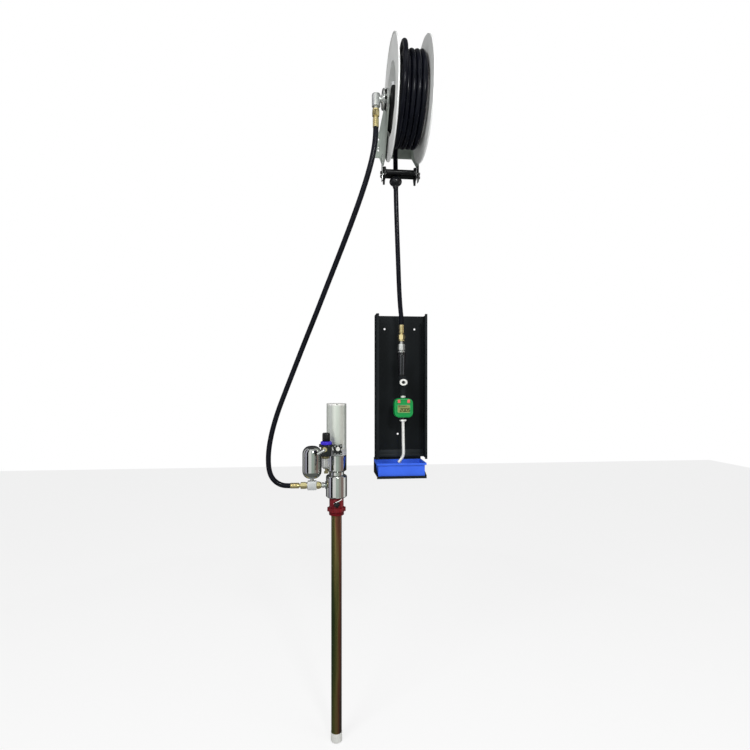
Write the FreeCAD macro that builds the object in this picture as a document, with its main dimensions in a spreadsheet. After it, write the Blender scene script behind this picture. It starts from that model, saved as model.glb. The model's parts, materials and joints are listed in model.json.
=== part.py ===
import FreeCAD, Part
import math
import os
import Sketcher

# Gear oil dispensing set: a wall reel with a spring-wound hose, an air-operated
# drum pump joined to it by an inlet hose, and a console that holds the metered
# gun over a drip tray.  Millimetres.  The origin is the middle of the reel's
# four-bolt wall pattern, on the wall plane: +Z is up, +X to the right of someone
# facing the wall, and everything stands off the wall towards -Y.

SIZES = {
    # fits
    "running_gap": 0.05,
    "body_gap": 0.5,
    "seat_gap": 0.1,
    # reel: drum and flanges, about an axle parallel to the wall
    "axle_standoff": 290.0,
    "axle_rise": 32.0,
    "axle_radius": 15.0,
    "flange_radius": 208.0,
    "flange_thickness": 2.5,
    "drum_gap": 112.0,
    "drum_radius": 125.6,
    "drum_wall": 3.0,
    "drum_web": 4.0,
    "drum_web_inset": 46.0,
    "hub_radius": 22.0,
    "hub_right_reach": 50.0,
    "hub_left_reach": 40.0,
    "ratchet_radius": 60.0,
    "ratchet_root_radius": 50.0,
    "ratchet_thickness": 6.0,
    "spring_pack_width": 32.0,
    "spring_pack_radius": 78.0,
    "pawl_distance": 80.0,
    "pawl_angle": -30.0,
    "pawl_lean": 97.0,
    "pawl_pin_radius": 5.0,
    "pawl_length": 45.0,
    "pawl_thickness": 8.0,
    # hoses
    "reel_hose_radius": 9.3,
    "inlet_hose_radius": 10.0,
    "loose_turn_radius": 185.0,
    "loose_lane": 19.0,
    "outer_layer_width": 76.8,
    # reel: frame
    "arm_face": 66.0,
    "arm_thickness": 4.0,
    "arm_boss_radius": 43.0,
    "arm_front_reach": 33.0,
    "arm_lobe_radius": 26.0,
    "arm_lobe_standoff": 148.0,
    "arm_lobe_drop": 146.0,
    "wall_plate_thickness": 5.0,
    "wall_plate_half_width": 95.0,
    "wall_plate_top": 53.0,
    "wall_plate_bottom": 54.0,
    "wall_bolt_spacing": 144.0,
    "wall_bolt_rise": 46.0,
    "wall_bolt_radius": 5.25,
    "spare_bolt_drop": 10.0,
    "spare_bolt_radius": 3.5,
    "axle_plate_radius": 38.0,
    "axle_plate_thickness": 6.0,
    "arm_bolt_circle": 29.0,
    "arm_bolt_radius": 6.0,
    "arm_bolt_height": 6.0,
    # reel: inlet swivel
    "union_radius": 17.0,
    "union_end": 107.0,
    "swivel_centre": 113.0,
    "swivel_width": 22.0,
    "swivel_above": 20.0,
    "swivel_drop": 36.0,
    # reel: hose guide
    "guide_standoff": 120.0,
    "guide_drop": 167.0,
    "roller_radius": 10.0,
    "roller_half_length": 57.6,
    "roller_pin_radius": 4.0,
    "guide_gap": 0.4,
    "bracket_face": 58.4,
    "bracket_thickness": 6.0,
    "bracket_rise": 34.0,
    "bracket_depth": 62.0,
    "strap_thickness": 3.0,
    "strap_width": 26.0,
    "strap_bottom": 199.0,
    "ball_radius": 25.0,
    "ball_drop": 196.0,
    "ball_neck_radius": 14.0,
    "ball_neck_drop": 28.0,
    # hose end fittings
    "hose_nut_flats": 25.0,
    "hose_nut_length": 27.0,
    "ferrule_radius": 11.2,
    "ferrule_length": 34.0,
    "ferrule_neck_radius": 7.5,
    "ferrule_neck": 5.5,
    "hose_bore_radius": 5.0,
    # console
    "console_centre": 15.5,
    "console_width": 209.0,
    "console_depth": 81.0,
    "console_lip": 11.0,
    "console_top": 713.0,
    "console_bottom": 1302.0,
    "console_sheet": 2.0,
    "console_corner": 4.0,
    "console_hole_centre": 16.6,
    "console_hole_spacing": 126.3,
    "console_hole_drop": 55.0,
    "console_hole_radius": 4.0,
    "console_low_hole": 9.0,
    "console_low_drop": 1206.0,
    "shelf_centre": 7.5,
    "shelf_width": 198.0,
    "shelf_depth": 130.0,
    "shelf_level": 1364.0,
    "shelf_side_height": 46.0,
    "shelf_lip": 7.4,
    "shelf_sheet": 2.0,
    "tray_depth": 108.0,
    "tray_height": 51.0,
    "tray_wall": 2.0,
    "tray_rim": 6.0,
    "tray_skirt": 8.0,
    "tray_rear_gap": 14.0,
    # gun and meter
    "gun_offset": 20.0,
    "grip_shift": 6.5,
    "gun_standoff": 75.0,
    "gun_hose_end": 758.0,
    "gun_swivel_flats": 25.0,
    "gun_swivel_length": 46.0,
    "gun_collar": 8.0,
    "grip_top_radius": 18.0,
    "grip_bottom_radius": 14.5,
    "grip_length": 95.0,
    "valve_radius": 20.5,
    "valve_neck_radius": 14.5,
    "valve_length": 78.0,
    "valve_ring_drop": 24.0,
    "valve_cap_radius": 16.0,
    "valve_cap_bore": 7.0,
    "valve_cap_thickness": 7.0,
    "trigger_length": 92.0,
    "trigger_thickness": 6.0,
    "trigger_width": 16.0,
    "trigger_pin_radius": 3.0,
    "meter_nut_flats": 20.0,
    "meter_nut_length": 12.0,
    "meter_width": 76.0,
    "meter_height": 77.0,
    "meter_depth": 44.0,
    "meter_corner": 18.0,
    "meter_pillow": 5.0,
    "meter_recess": 1.5,
    "screen_width": 50.0,
    "screen_height": 30.0,
    "screen_drop": 42.0,
    "button_width": 11.0,
    "button_height": 14.0,
    "button_spacing": 39.0,
    "button_drop": 11.5,
    "button_proud": 2.5,
    "button_pocket": 6.0,
    "spout_nut_flats": 24.0,
    "spout_nut_length": 14.0,
    "spout_radius": 6.0,
    "spout_wall": 1.2,
    "spout_straight": 143.0,
    "spout_lean": 2.0,
    "spout_reach": 20.0,
    "spout_drop": 25.0,
    # pump, from the drum's bung upwards and downwards
    "pump_offset": 249.0,
    "pump_standoff": 80.0,
    "bung_level": 1504.0,
    "bung_thread_radius": 29.8,
    "bung_thread_length": 14.6,
    "star_ring_height": 16.0,
    "star_ring_radius": 32.5,
    "star_lobe_radius": 7.0,
    "adapter_radius": 28.5,
    "adapter_height": 40.0,
    "clamp_screw_radius": 4.0,
    "clamp_level": 32.5,
    "lower_body_radius": 42.0,
    "lower_body_height": 89.0,
    "lower_bore_radius": 24.0,
    "lower_web": 6.0,
    "shoulder_round": 9.0,
    "neck_radius": 30.0,
    "neck_height": 17.0,
    "upper_body_radius": 40.0,
    "upper_body_height": 63.0,
    "gland_radius": 20.0,
    "gland_height": 12.0,
    "motor_base_radius": 40.0,
    "motor_base_height": 23.0,
    "cylinder_radius": 39.5,
    "cylinder_bore": 36.0,
    "cylinder_height": 174.0,
    "cap_height": 7.0,
    "cap_screw_radius": 4.5,
    "cap_screw_circle": 35.5,
    "piston_height": 18.0,
    "rod_radius": 7.0,
    "pump_piston_height": 9.0,
    "tube_radius": 21.0,
    "tube_wall": 2.0,
    "tube_length": 935.0,
    "foot_radius": 22.3,
    "foot_height": 36.0,
    "foot_bore": 15.0,
    "seat_radius": 7.0,
    "ball_valve_radius": 9.0,
    "ball_lift": 5.0,
    # air side
    "block_width": 33.0,
    "block_depth": 28.0,
    "block_height": 39.0,
    "block_shift": 3.5,
    "nipple_radius": 6.5,
    "nipple_length": 6.0,
    "regulator_width": 45.0,
    "regulator_depth": 40.0,
    "regulator_height": 44.0,
    "regulator_level": 4.0,
    "regulator_standoff": 150.0,
    "knob_ring_radius": 22.0,
    "knob_ring_height": 13.0,
    "knob_radius": 15.0,
    "knob_height": 33.0,
    "bowl_radius": 20.0,
    "bowl_height": 49.0,
    "drain_radius": 5.0,
    "drain_height": 18.0,
    # outlet line
    "outlet_level": 104.0,
    "outlet_boss_radius": 15.0,
    "outlet_boss_reach": 45.0,
    "outlet_bore": 8.0,
    "outlet_nipple_radius": 11.0,
    "outlet_nipple_length": 15.0,
    "outlet_adapter_flats": 27.0,
    "outlet_adapter_length": 19.0,
    "tee_length": 36.0,
    "tee_width": 30.0,
    "tee_height": 35.0,
    "tank_radius": 38.0,
    "tank_height": 130.0,
    "tank_wall": 2.0,
    "stem_radius": 7.0,
    "stem_height": 9.0,
}

doc = FreeCAD.newDocument("gear_oil_pump")
sheet = doc.addObject("Spreadsheet::Sheet", "sizes")
for row, (name, length) in enumerate(SIZES.items(), start=1):
    sheet.set(f"A{row}", name.replace("_", " "))
    sheet.set(f"B{row}", str(length))
    sheet.setAlias(f"B{row}", name)
doc.recompute()


class Size:
    """A length with the sheet expression that gives it, so both stay in step."""

    def __init__(self, value, text):
        self.value = float(value)
        self.text = text

    def __add__(self, other):
        other = sized(other)
        return Size(self.value + other.value, f"({self.text} + {other.text})")

    def __sub__(self, other):
        other = sized(other)
        return Size(self.value - other.value, f"({self.text} - {other.text})")

    def __mul__(self, other):
        other = sized(other)
        return Size(self.value * other.value, f"({self.text} * {other.text})")

    def __truediv__(self, other):
        other = sized(other)
        return Size(self.value / other.value, f"({self.text} / {other.text})")

    def __neg__(self):
        return Size(-self.value, f"(0 - {self.text})")

    def __radd__(self, other):
        return sized(other) + self

    def __rsub__(self, other):
        return sized(other) - self

    def __rmul__(self, other):
        return sized(other) * self


def sized(value):
    return value if isinstance(value, Size) else Size(value, repr(float(value)))


class Sizes:
    """Each of the sheet's cells as a Size, by its alias."""

    def __getattr__(self, name):
        return Size(sheet.get(name), f"sizes.{name}")


s = Sizes()
nodes = []

UPRIGHT = FreeCAD.Rotation()
UPSIDE_DOWN = FreeCAD.Rotation(FreeCAD.Vector(1, 0, 0), 180)
ALONG_X = FreeCAD.Rotation(FreeCAD.Vector(0, 1, 0), 90)
AGAINST_X = FreeCAD.Rotation(FreeCAD.Vector(0, 1, 0), -90)
ALONG_Y = FreeCAD.Rotation(FreeCAD.Vector(1, 0, 0), -90)
# drawn x, y become X, Z and the depth runs from the wall towards -Y
FACING_FRONT = FreeCAD.Rotation(FreeCAD.Vector(1, 0, 0), 90)
# drawn x, y become Y, Z and the depth runs along +X
FACING_SIDE = FreeCAD.Rotation(FreeCAD.Vector(1, 1, 1), 120)


def bind(thing, name, value):
    """Set a property, and tie it to the sheet where the value comes from there."""
    if isinstance(value, Size):
        thing.setExpression(name, value.text)
    else:
        setattr(thing, name, value)


def place(thing, at, turn=UPRIGHT):
    at = [sized(value) for value in at]
    thing.Placement = FreeCAD.Placement(FreeCAD.Vector(*[v.value for v in at]), turn)
    for letter, value in zip("xyz", at):
        thing.setExpression(f"Placement.Base.{letter}", value.text)


def add(kind, at, turn, **sizes):
    thing = doc.addObject(kind, kind.split("::")[1])
    for name, value in sizes.items():
        bind(thing, name, value)
    place(thing, at, turn)
    return thing


def rod(radius, length, at, turn=UPRIGHT):
    return add("Part::Cylinder", at, turn, Radius=radius, Height=length)


def ball(radius, at):
    return add("Part::Sphere", at, UPRIGHT, Radius=radius)


def block(width, depth, height, at):
    """A box along the world axes, placed by the middle of its bottom face."""
    corner = (at[0] - sized(width) / 2, at[1] - sized(depth) / 2, at[2])
    return add("Part::Box", corner, UPRIGHT, Length=width, Width=depth, Height=height)


def hexagon(flats, length, at, turn=UPRIGHT):
    """A hexagon bar by its width across flats."""
    return add("Part::Prism", at, turn, Polygon=6, Circumradius=sized(flats) * 0.57735, Height=length)


def fuse(*things):
    joined = doc.addObject("Part::MultiFuse", "Joined")
    joined.Shapes = list(things)
    return joined


def cut(base, *tools):
    taken = doc.addObject("Part::Cut", "Taken")
    taken.Base = base
    taken.Tool = tools[0] if len(tools) == 1 else fuse(*tools)
    return taken


def group(*things):
    """Separate solids of one kind that share a node."""
    gathered = doc.addObject("Part::Compound", "Group")
    gathered.Links = list(things)
    return gathered


def node(label, thing):
    thing.Label = label
    nodes.append(thing)
    return thing


def root_of(size):
    return Size(math.sqrt(size.value), f"sqrt({size.text})")


class Drawing:
    """A sketch on one of a body's own planes, with every point tied to the sheet."""

    def __init__(self, body, role):
        plane = [part for part in body.Origin.OriginFeatures if part.Role == role][0]
        self.sketch = body.newObject("Sketcher::SketchObject", "Outline")
        self.sketch.AttachmentSupport = [(plane, "")]
        self.sketch.MapMode = "FlatFace"

    def measure(self, kind, geometry, point, value):
        """Fix one coordinate of a point; where it is zero the point is on the axis."""
        value = sized(value)
        if abs(value.value) < 1e-9:
            axis = -2 if kind == "DistanceX" else -1
            self.sketch.addConstraint(Sketcher.Constraint("PointOnObject", geometry, point, axis))
            return
        if value.value > 0:
            ends = (-1, 1, geometry, point)
        else:
            ends = (geometry, point, -1, 1)
            value = -value
        number = self.sketch.addConstraint(Sketcher.Constraint(kind, *ends, value.value))
        self.sketch.setExpression(f"Constraints[{number}]", value.text)

    def fix(self, geometry, point, corner):
        self.measure("DistanceX", geometry, point, corner[0])
        self.measure("DistanceY", geometry, point, corner[1])

    def polygon(self, corners):
        spots = [FreeCAD.Vector(sized(x).value, sized(y).value, 0) for x, y in corners]
        first = self.sketch.GeometryCount
        for start, end in zip(spots, spots[1:] + spots[:1]):
            self.sketch.addGeometry(Part.LineSegment(start, end))
        for index, corner in enumerate(corners):
            before = first + (index - 1) % len(corners)
            self.sketch.addConstraint(Sketcher.Constraint("Coincident", before, 2, first + index, 1))
            self.fix(first + index, 1, corner)

    def circle(self, centre, radius):
        radius = sized(radius)
        spot = FreeCAD.Vector(sized(centre[0]).value, sized(centre[1]).value, 0)
        ring = self.sketch.addGeometry(Part.Circle(spot, FreeCAD.Vector(0, 0, 1), radius.value))
        number = self.sketch.addConstraint(Sketcher.Constraint("Radius", ring, radius.value))
        self.sketch.setExpression(f"Constraints[{number}]", radius.text)
        self.fix(ring, 3, centre)


def round_off(body, wanted, radius):
    """Fillet the edges of a body that the test says yes to."""
    doc.recompute()
    last = body.Tip
    names = [f"Edge{i}" for i, edge in enumerate(last.Shape.Edges, start=1) if wanted(edge)]
    fillet = body.newObject("PartDesign::Fillet", "Rounded")
    fillet.Base = (last, names)
    bind(fillet, "Radius", radius)
    body.Tip = fillet


def close(first, second):
    return abs(first - second) < 1e-4


def turned(profile, at, turn=UPRIGHT, rounds=()):
    """A turned piece: (radius, height) corners about its own upright axis."""
    body = doc.addObject("PartDesign::Body", "Turned")
    drawing = Drawing(body, "XZ_Plane")
    drawing.polygon(profile)
    lathe = body.newObject("PartDesign::Revolution", "Lathe")
    lathe.Profile = drawing.sketch
    lathe.ReferenceAxis = (drawing.sketch, ["V_Axis"])
    lathe.Angle = 360
    body.Tip = lathe
    for corner, radius in rounds:
        across, up = (sized(value).value for value in profile[corner])

        def wanted(edge):
            curve = edge.Curve
            if not isinstance(curve, Part.Circle):
                return False
            return close(curve.Radius, across) and close(curve.Center.z, up)

        round_off(body, wanted, radius)
    place(body, at, turn)
    return body


def plate(outline, thickness, at, turn, circles=(), rounds=(), pillow=None):
    """A flat piece padded from its outline, with round holes and rounded corners."""
    body = doc.addObject("PartDesign::Body", "Plate")
    drawing = Drawing(body, "XY_Plane")
    drawing.polygon(outline)
    for centre, radius in circles:
        drawing.circle(centre, radius)
    pad = body.newObject("PartDesign::Pad", "Thickness")
    pad.Profile = drawing.sketch
    bind(pad, "Length", thickness)
    body.Tip = pad
    for corners, radius in rounds:
        spots = [[sized(value).value for value in outline[corner]] for corner in corners]

        def wanted(edge):
            ends = [vertex.Point for vertex in edge.Vertexes]
            if len(ends) != 2 or close(ends[0].z, ends[1].z):
                return False
            return any(close(ends[0].x, x) and close(ends[0].y, y) for x, y in spots)

        round_off(body, wanted, radius)
    if pillow is not None:
        top = sized(thickness).value

        def in_front(edge):
            return all(close(vertex.Point.z, top) for vertex in edge.Vertexes)

        round_off(body, in_front, pillow)
    place(body, at, turn)
    return body


def bend_radius(before, corner, after):
    """The bend at a point takes 0.45 of the shorter of its two runs."""
    turn = (corner - before).getAngle(after - corner)
    reach = 0.45 * min((corner - before).Length, (after - corner).Length)
    return reach / math.tan(turn / 2), reach


def route_wire(points):
    """Straight runs joined by tangent arcs, from end to end of a route."""
    spots = [FreeCAD.Vector(*point) for point in points]
    edges = []
    start = spots[0]
    for before, corner, after in zip(spots, spots[1:], spots[2:]):
        radius, reach = bend_radius(before, corner, after)
        back = (before - corner).normalize()
        ahead = (after - corner).normalize()
        inward = (back + ahead).normalize()
        half_turn = math.atan(reach / radius)
        middle = corner + inward * (radius / math.cos(half_turn) - radius)
        edges.append(Part.makeLine(start, corner + back * reach))
        edges.append(Part.Arc(corner + back * reach, middle, corner + ahead * reach).toShape())
        start = corner + ahead * reach
    edges.append(Part.makeLine(start, spots[-1]))
    return Part.Wire(edges)


def swept(points, radius):
    """A round bar of one section along a route."""
    wire = route_wire(points)
    heading = wire.Edges[0].tangentAt(wire.Edges[0].FirstParameter)
    section = Part.Wire([Part.makeCircle(radius, FreeCAD.Vector(*points[0]), heading)])
    return wire.makePipeShell([section], True, False), wire.Length


def hose(label, points, radius):
    shape, length = swept(points, radius.value)
    spots = [FreeCAD.Vector(*point) for point in points]
    bends = [bend_radius(*three)[0] for three in zip(spots, spots[1:], spots[2:])]
    fill = shape.Volume / (math.pi * radius.value ** 2 * length)
    print(f"{label}: length {length:.1f}, tightest bend {min(bends):.1f}, volume ratio {fill:.4f}")
    tube = doc.addObject("Part::Feature", "Hose")
    tube.Shape = shape
    return node(label, tube)


# ---------------------------------------------------------------- reel: drum

def on_axle(along):
    return (along, -s.axle_standoff, s.axle_rise)


half_gap = s.drum_gap / 2
drum_bore = s.axle_radius + s.running_gap
layer = s.reel_hose_radius * 2
free_lane = s.loose_lane + s.reel_hose_radius + s.body_gap
web_right = s.drum_web_inset + s.drum_web


def build_drum_core():
    inside = s.drum_radius - s.drum_wall
    hub_right = half_gap + s.hub_right_reach
    hub_left = half_gap - s.hub_left_reach
    profile = [
        (s.drum_radius, 0),
        (s.drum_radius, s.drum_gap),
        (inside, s.drum_gap),
        (inside, web_right),
        (s.hub_radius, web_right),
        (s.hub_radius, hub_right),
        (drum_bore, hub_right),
        (drum_bore, hub_left),
        (s.hub_radius, hub_left),
        (s.hub_radius, s.drum_web_inset),
        (inside, s.drum_web_inset),
        (inside, 0),
    ]
    core = turned(profile, on_axle(-half_gap), ALONG_X)
    teeth = 12
    outline = []
    for tooth in range(teeth):
        start = 2 * math.pi * (tooth - 0.17) / teeth
        end = 2 * math.pi * (tooth + 0.73) / teeth
        outline.append((s.ratchet_root_radius * math.cos(start), s.ratchet_root_radius * math.sin(start)))
        outline.append((s.ratchet_radius * math.cos(end), s.ratchet_radius * math.sin(end)))
    bore = [((0, 0), s.hub_radius)]
    ratchet = plate(outline, s.ratchet_thickness, on_axle(ratchet_left), FACING_SIDE, circles=bore)
    node("drum_core", fuse(core, ratchet))


ratchet_left = s.hub_right_reach - s.ratchet_thickness * 1.5


def build_flange(label, side):
    """A pressed side disc with a turned-out rim and the drum's opening in it."""
    rim = s.flange_thickness * 2
    profile = [
        (s.drum_radius - s.drum_wall, 0),
        (s.flange_radius, 0),
        (s.flange_radius, rim),
        (s.flange_radius - s.flange_thickness, rim),
        (s.flange_radius - s.flange_thickness, s.flange_thickness),
        (s.drum_radius - s.drum_wall, s.flange_thickness),
    ]
    turn = AGAINST_X if side < 0 else ALONG_X
    node(label, turned(profile, on_axle(half_gap * side), turn))


def build_wound_hose():
    """Two layers on the drum; the outer one leaves a lane free at the left."""
    inner = s.drum_radius + layer
    outer = inner + layer
    lanes_end = free_lane + s.outer_layer_width
    profile = [
        (s.drum_radius, 0),
        (s.drum_radius, s.drum_gap),
        (inner, s.drum_gap),
        (inner, lanes_end),
        (outer, lanes_end),
        (outer, free_lane),
        (inner, free_lane),
        (inner, 0),
    ]
    node("wound_hose", turned(profile, on_axle(-half_gap), ALONG_X))


def build_rewind_spring():
    start = web_right - half_gap
    pack = rod(s.spring_pack_radius, s.spring_pack_width, on_axle(start), ALONG_X)
    eye = rod(s.hub_radius + s.body_gap, s.spring_pack_width, on_axle(start), ALONG_X)
    node("rewind_spring", cut(pack, eye))


# ---------------------------------------------------------------- reel: frame

wall_plate_front = s.wall_plate_thickness
arm_outer = s.arm_face + s.arm_thickness
pawl_turn = math.radians(SIZES["pawl_angle"])
pawl_from_axle = (s.pawl_distance * math.cos(pawl_turn), s.pawl_distance * math.sin(pawl_turn))


def build_wall_plate():
    outline = [
        (-s.wall_plate_half_width, -s.wall_plate_bottom),
        (s.wall_plate_half_width, -s.wall_plate_bottom),
        (s.wall_plate_half_width, s.wall_plate_top),
        (-s.wall_plate_half_width, s.wall_plate_top),
    ]
    holes = []
    for side in (-1, 1):
        across = s.wall_bolt_spacing / 2 * side
        holes.append(((across, s.wall_bolt_rise / 2), s.wall_bolt_radius))
        holes.append(((across, -s.wall_bolt_rise / 2), s.wall_bolt_radius))
        holes.append(((across, -s.spare_bolt_drop), s.spare_bolt_radius))
    rounds = [((0, 1, 2, 3), s.wall_plate_thickness)]
    body = plate(outline, s.wall_plate_thickness, (0, 0, 0), FACING_FRONT, circles=holes, rounds=rounds)
    node("wall_base_plate", body)


def build_side_arm(label, side):
    """A deep plate from the wall plate round the axle, with a lobe for the guide."""
    front = -(s.axle_standoff + s.arm_front_reach)
    lobe_foot = -(s.arm_lobe_drop + s.arm_lobe_radius)
    outline = [
        (-wall_plate_front, s.wall_plate_top - s.axle_rise),
        (front, s.arm_boss_radius),
        (front + s.arm_front_reach / 2, -s.arm_boss_radius * 0.75),
        (-(s.arm_lobe_standoff + s.arm_lobe_radius), lobe_foot),
        (-(s.arm_lobe_standoff - s.arm_lobe_radius), lobe_foot),
        (-wall_plate_front, -(s.wall_plate_bottom + s.axle_rise)),
    ]
    holes = [((-s.axle_standoff, 0), s.axle_radius + s.running_gap)]
    if side > 0:
        pin_at = (pawl_from_axle[0] - s.axle_standoff, pawl_from_axle[1])
        holes.append((pin_at, s.pawl_pin_radius))
    rounds = [((1,), s.arm_boss_radius * 0.8), ((2,), s.arm_boss_radius * 0.5)]
    rounds.append(((3, 4), s.arm_lobe_radius * 0.8))
    left = s.arm_face if side > 0 else -arm_outer
    arm = plate(outline, s.arm_thickness, (left, 0, s.axle_rise), FACING_SIDE, circles=holes, rounds=rounds)
    if side > 0:
        pin_start = ratchet_left - s.pawl_thickness / 2
        pin = rod(s.pawl_pin_radius, arm_outer - pin_start, pawl_axis(pin_start), ALONG_X)
        arm = fuse(arm, pin)
    node(label, arm)


def pawl_axis(along):
    return (along, pawl_from_axle[0] - s.axle_standoff, pawl_from_axle[1] + s.axle_rise)


def build_pawl():
    """A sprung finger on the right arm's pin, lifted just clear of the ratchet."""
    reach = s.pawl_length
    outline = [
        (-reach * 0.2, -reach * 0.2),
        (reach * 0.45, -reach * 0.15),
        (reach, -reach * 0.05),
        (reach, reach * 0.05),
        (reach * 0.45, reach * 0.16),
        (-reach * 0.2, reach * 0.2),
    ]
    bore = [((0, 0), s.pawl_pin_radius + s.running_gap)]
    turn = FreeCAD.Rotation(FreeCAD.Vector(1, 0, 0), SIZES["pawl_lean"]) * FACING_SIDE
    node("pawl", plate(outline, s.pawl_thickness, pawl_axis(ratchet_left), turn, circles=bore))


axle_end = arm_outer + s.axle_plate_thickness + s.arm_bolt_height * 2


def build_reel_axle():
    """The fixed hollow axle, and the round plate that bolts it to the left arm."""
    length = axle_end + arm_outer + s.arm_thickness
    shaft = rod(s.axle_radius, length, on_axle(-axle_end), ALONG_X)
    spread = s.axle_plate_thickness
    disc = rod(s.axle_plate_radius, spread, on_axle(-arm_outer - spread), ALONG_X)
    bore = rod(s.axle_radius * 0.5, length, on_axle(-axle_end), ALONG_X)
    node("reel_axle", cut(fuse(shaft, disc), bore))


def build_arm_bolts():
    """Bolt heads: six on the axle plate, three on the right arm, four on the guide."""
    heads = []
    for count, side, face in ((6, -1, arm_outer + s.axle_plate_thickness), (3, 1, arm_outer)):
        for turn in range(count):
            angle = 2 * math.pi * (turn + 0.25) / count
            across = s.arm_bolt_circle * math.cos(angle) - s.axle_standoff
            up = s.arm_bolt_circle * math.sin(angle) + s.axle_rise
            along = face if side > 0 else -face - s.arm_bolt_height
            heads.append(hexagon(s.arm_bolt_radius * 1.8, s.arm_bolt_height, (along, across, up), ALONG_X))
    for side in (-1, 1):
        face = strap_outer if side > 0 else -strap_outer - s.arm_bolt_height
        for up in (-s.guide_drop, -s.guide_drop - s.arm_bolt_radius * 2.4):
            heads.append(hexagon(s.arm_bolt_radius * 1.8, s.arm_bolt_height, (face, strap_at, up), ALONG_X))
    node("arm_bolts", group(*heads))


# ---------------------------------------------------------------- reel: inlet swivel

union_face = -s.union_end
swivel_at = (-s.swivel_centre, -s.axle_standoff)


def build_swivel_body():
    """An elbow that turns the fixed axle's end down to the inlet hose."""
    foot = s.axle_rise - s.swivel_drop
    width = s.swivel_width
    leg = block(width, width * 1.1, s.swivel_drop + s.swivel_above, (*swivel_at, foot))
    neck_length = s.swivel_centre - axle_end
    neck = rod(s.union_radius, neck_length - width / 2, on_axle(-s.swivel_centre + width / 2), ALONG_X)
    down = rod(s.hose_bore_radius, s.swivel_drop, (*swivel_at, foot))
    inward = rod(s.hose_bore_radius, neck_length, on_axle(-s.swivel_centre), ALONG_X)
    node("swivel_body", cut(fuse(leg, neck), down, inward))


# ---------------------------------------------------------------- reel: hose guide

strap_outer = arm_outer + s.strap_thickness
strap_at = -s.guide_standoff - s.roller_radius
roller_apart = s.roller_radius + s.reel_hose_radius + s.guide_gap * 2


def build_guide_straps():
    """Flat steel straps that hang the guide brackets from the arms."""
    top = s.arm_lobe_drop - s.arm_lobe_radius * 0.5 - s.axle_rise
    straps = []
    for side in (-1, 1):
        centre = (arm_outer + s.strap_thickness / 2) * side
        height = s.strap_bottom - top
        straps.append(block(s.strap_thickness, s.strap_width, height, (centre, strap_at, -s.strap_bottom)))
    node("guide_straps", group(*straps))


def build_guide_brackets():
    """Pointed end cheeks, joined by the two pins that the rollers turn on."""
    deep = s.bracket_depth / 2
    outline = [
        (-deep, -s.bracket_rise * 0.45),
        (-deep * 0.35, -s.bracket_rise * 0.6),
        (0, -s.bracket_rise),
        (deep * 0.35, -s.bracket_rise * 0.6),
        (deep, -s.bracket_rise * 0.45),
        (deep, s.bracket_rise * 0.45),
        (deep * 0.35, s.bracket_rise * 0.6),
        (0, s.bracket_rise),
        (-deep * 0.35, s.bracket_rise * 0.6),
        (-deep, s.bracket_rise * 0.45),
    ]
    solids = []
    for side in (-1, 1):
        left = s.bracket_face if side > 0 else -s.bracket_face - s.bracket_thickness
        corner = (left, -s.guide_standoff, -s.guide_drop)
        solids.append(plate(outline, s.bracket_thickness, corner, FACING_SIDE))
        boss_length = arm_outer - s.bracket_face
        boss_left = s.bracket_face if side > 0 else -arm_outer
        solids.append(rod(s.roller_radius, boss_length, (boss_left, strap_at, -s.guide_drop), ALONG_X))
    for side in (-1, 1):
        spot = (-s.bracket_face, roller_apart * side - s.guide_standoff, -s.guide_drop)
        solids.append(rod(s.roller_pin_radius, s.bracket_face * 2, spot, ALONG_X))
    node("guide_brackets", fuse(*solids))


def build_roller(label, side):
    spot = (-s.roller_half_length, roller_apart * side - s.guide_standoff, -s.guide_drop)
    sleeve = rod(s.roller_radius, s.roller_half_length * 2, spot, ALONG_X)
    bore = rod(s.roller_pin_radius + s.running_gap, s.roller_half_length * 2, spot, ALONG_X)
    node(label, cut(sleeve, bore))


def build_ball_stop():
    """The rubber ball clamped on the hose, which stops it at the guide."""
    spot = (drop_route[1][0], drop_route[1][1], -s.ball_drop)
    neck_at = (spot[0], spot[1], -s.ball_drop - s.ball_neck_drop)
    body = fuse(ball(s.ball_radius, spot), rod(s.ball_neck_radius, s.ball_neck_drop, neck_at))
    hole_at = (spot[0], spot[1], -s.ball_drop - s.ball_radius * 2)
    node("ball_stop", cut(body, rod(s.reel_hose_radius, s.ball_radius * 4, hole_at)))


# ---------------------------------------------------------------- hoses

def loose_turn():
    """The outermost turn: it lies in the free lane, then climbs over the coil."""
    steps = 17
    seat = SIZES["drum_radius"] + SIZES["reel_hose_radius"] * 3 + SIZES["body_gap"] + 4
    lane = -SIZES["drum_gap"] / 2 + SIZES["loose_lane"]
    top_of_coil = seat + SIZES["reel_hose_radius"] * 2 + 0.6
    points = []
    for step in range(steps):
        turn = 396 - 24 * step
        climb = min(1, max(0, (262 - turn) / 96))
        shift = min(1, max(0, (190 - turn) / 105))
        fall = min(1, max(0, (60 - turn) / 48))
        climb = climb * climb * (3 - 2 * climb)
        radius = seat + (SIZES["loose_turn_radius"] - seat) * climb
        radius = radius + (top_of_coil - radius) * fall
        along = lane + (-17 - lane) * shift
        angle = math.radians(turn)
        across = -SIZES["axle_standoff"] + radius * math.cos(angle)
        points.append((along, across, SIZES["axle_rise"] + radius * math.sin(angle)))
    return points


# from below the coil, between the rollers, down to the gun's ferrule
drop_route = [
    (-17.4, -117.5, -60),
    (-17, -120, -142),
    (-15, -119, -262),
    (-9.5, -112, -400),
    (-3.5, -102, -520),
    (2, -91, -625),
    (8.5, -80, -695),
    (13.5, -75, -730),
    (13.5, -75, -758),
]

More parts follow.
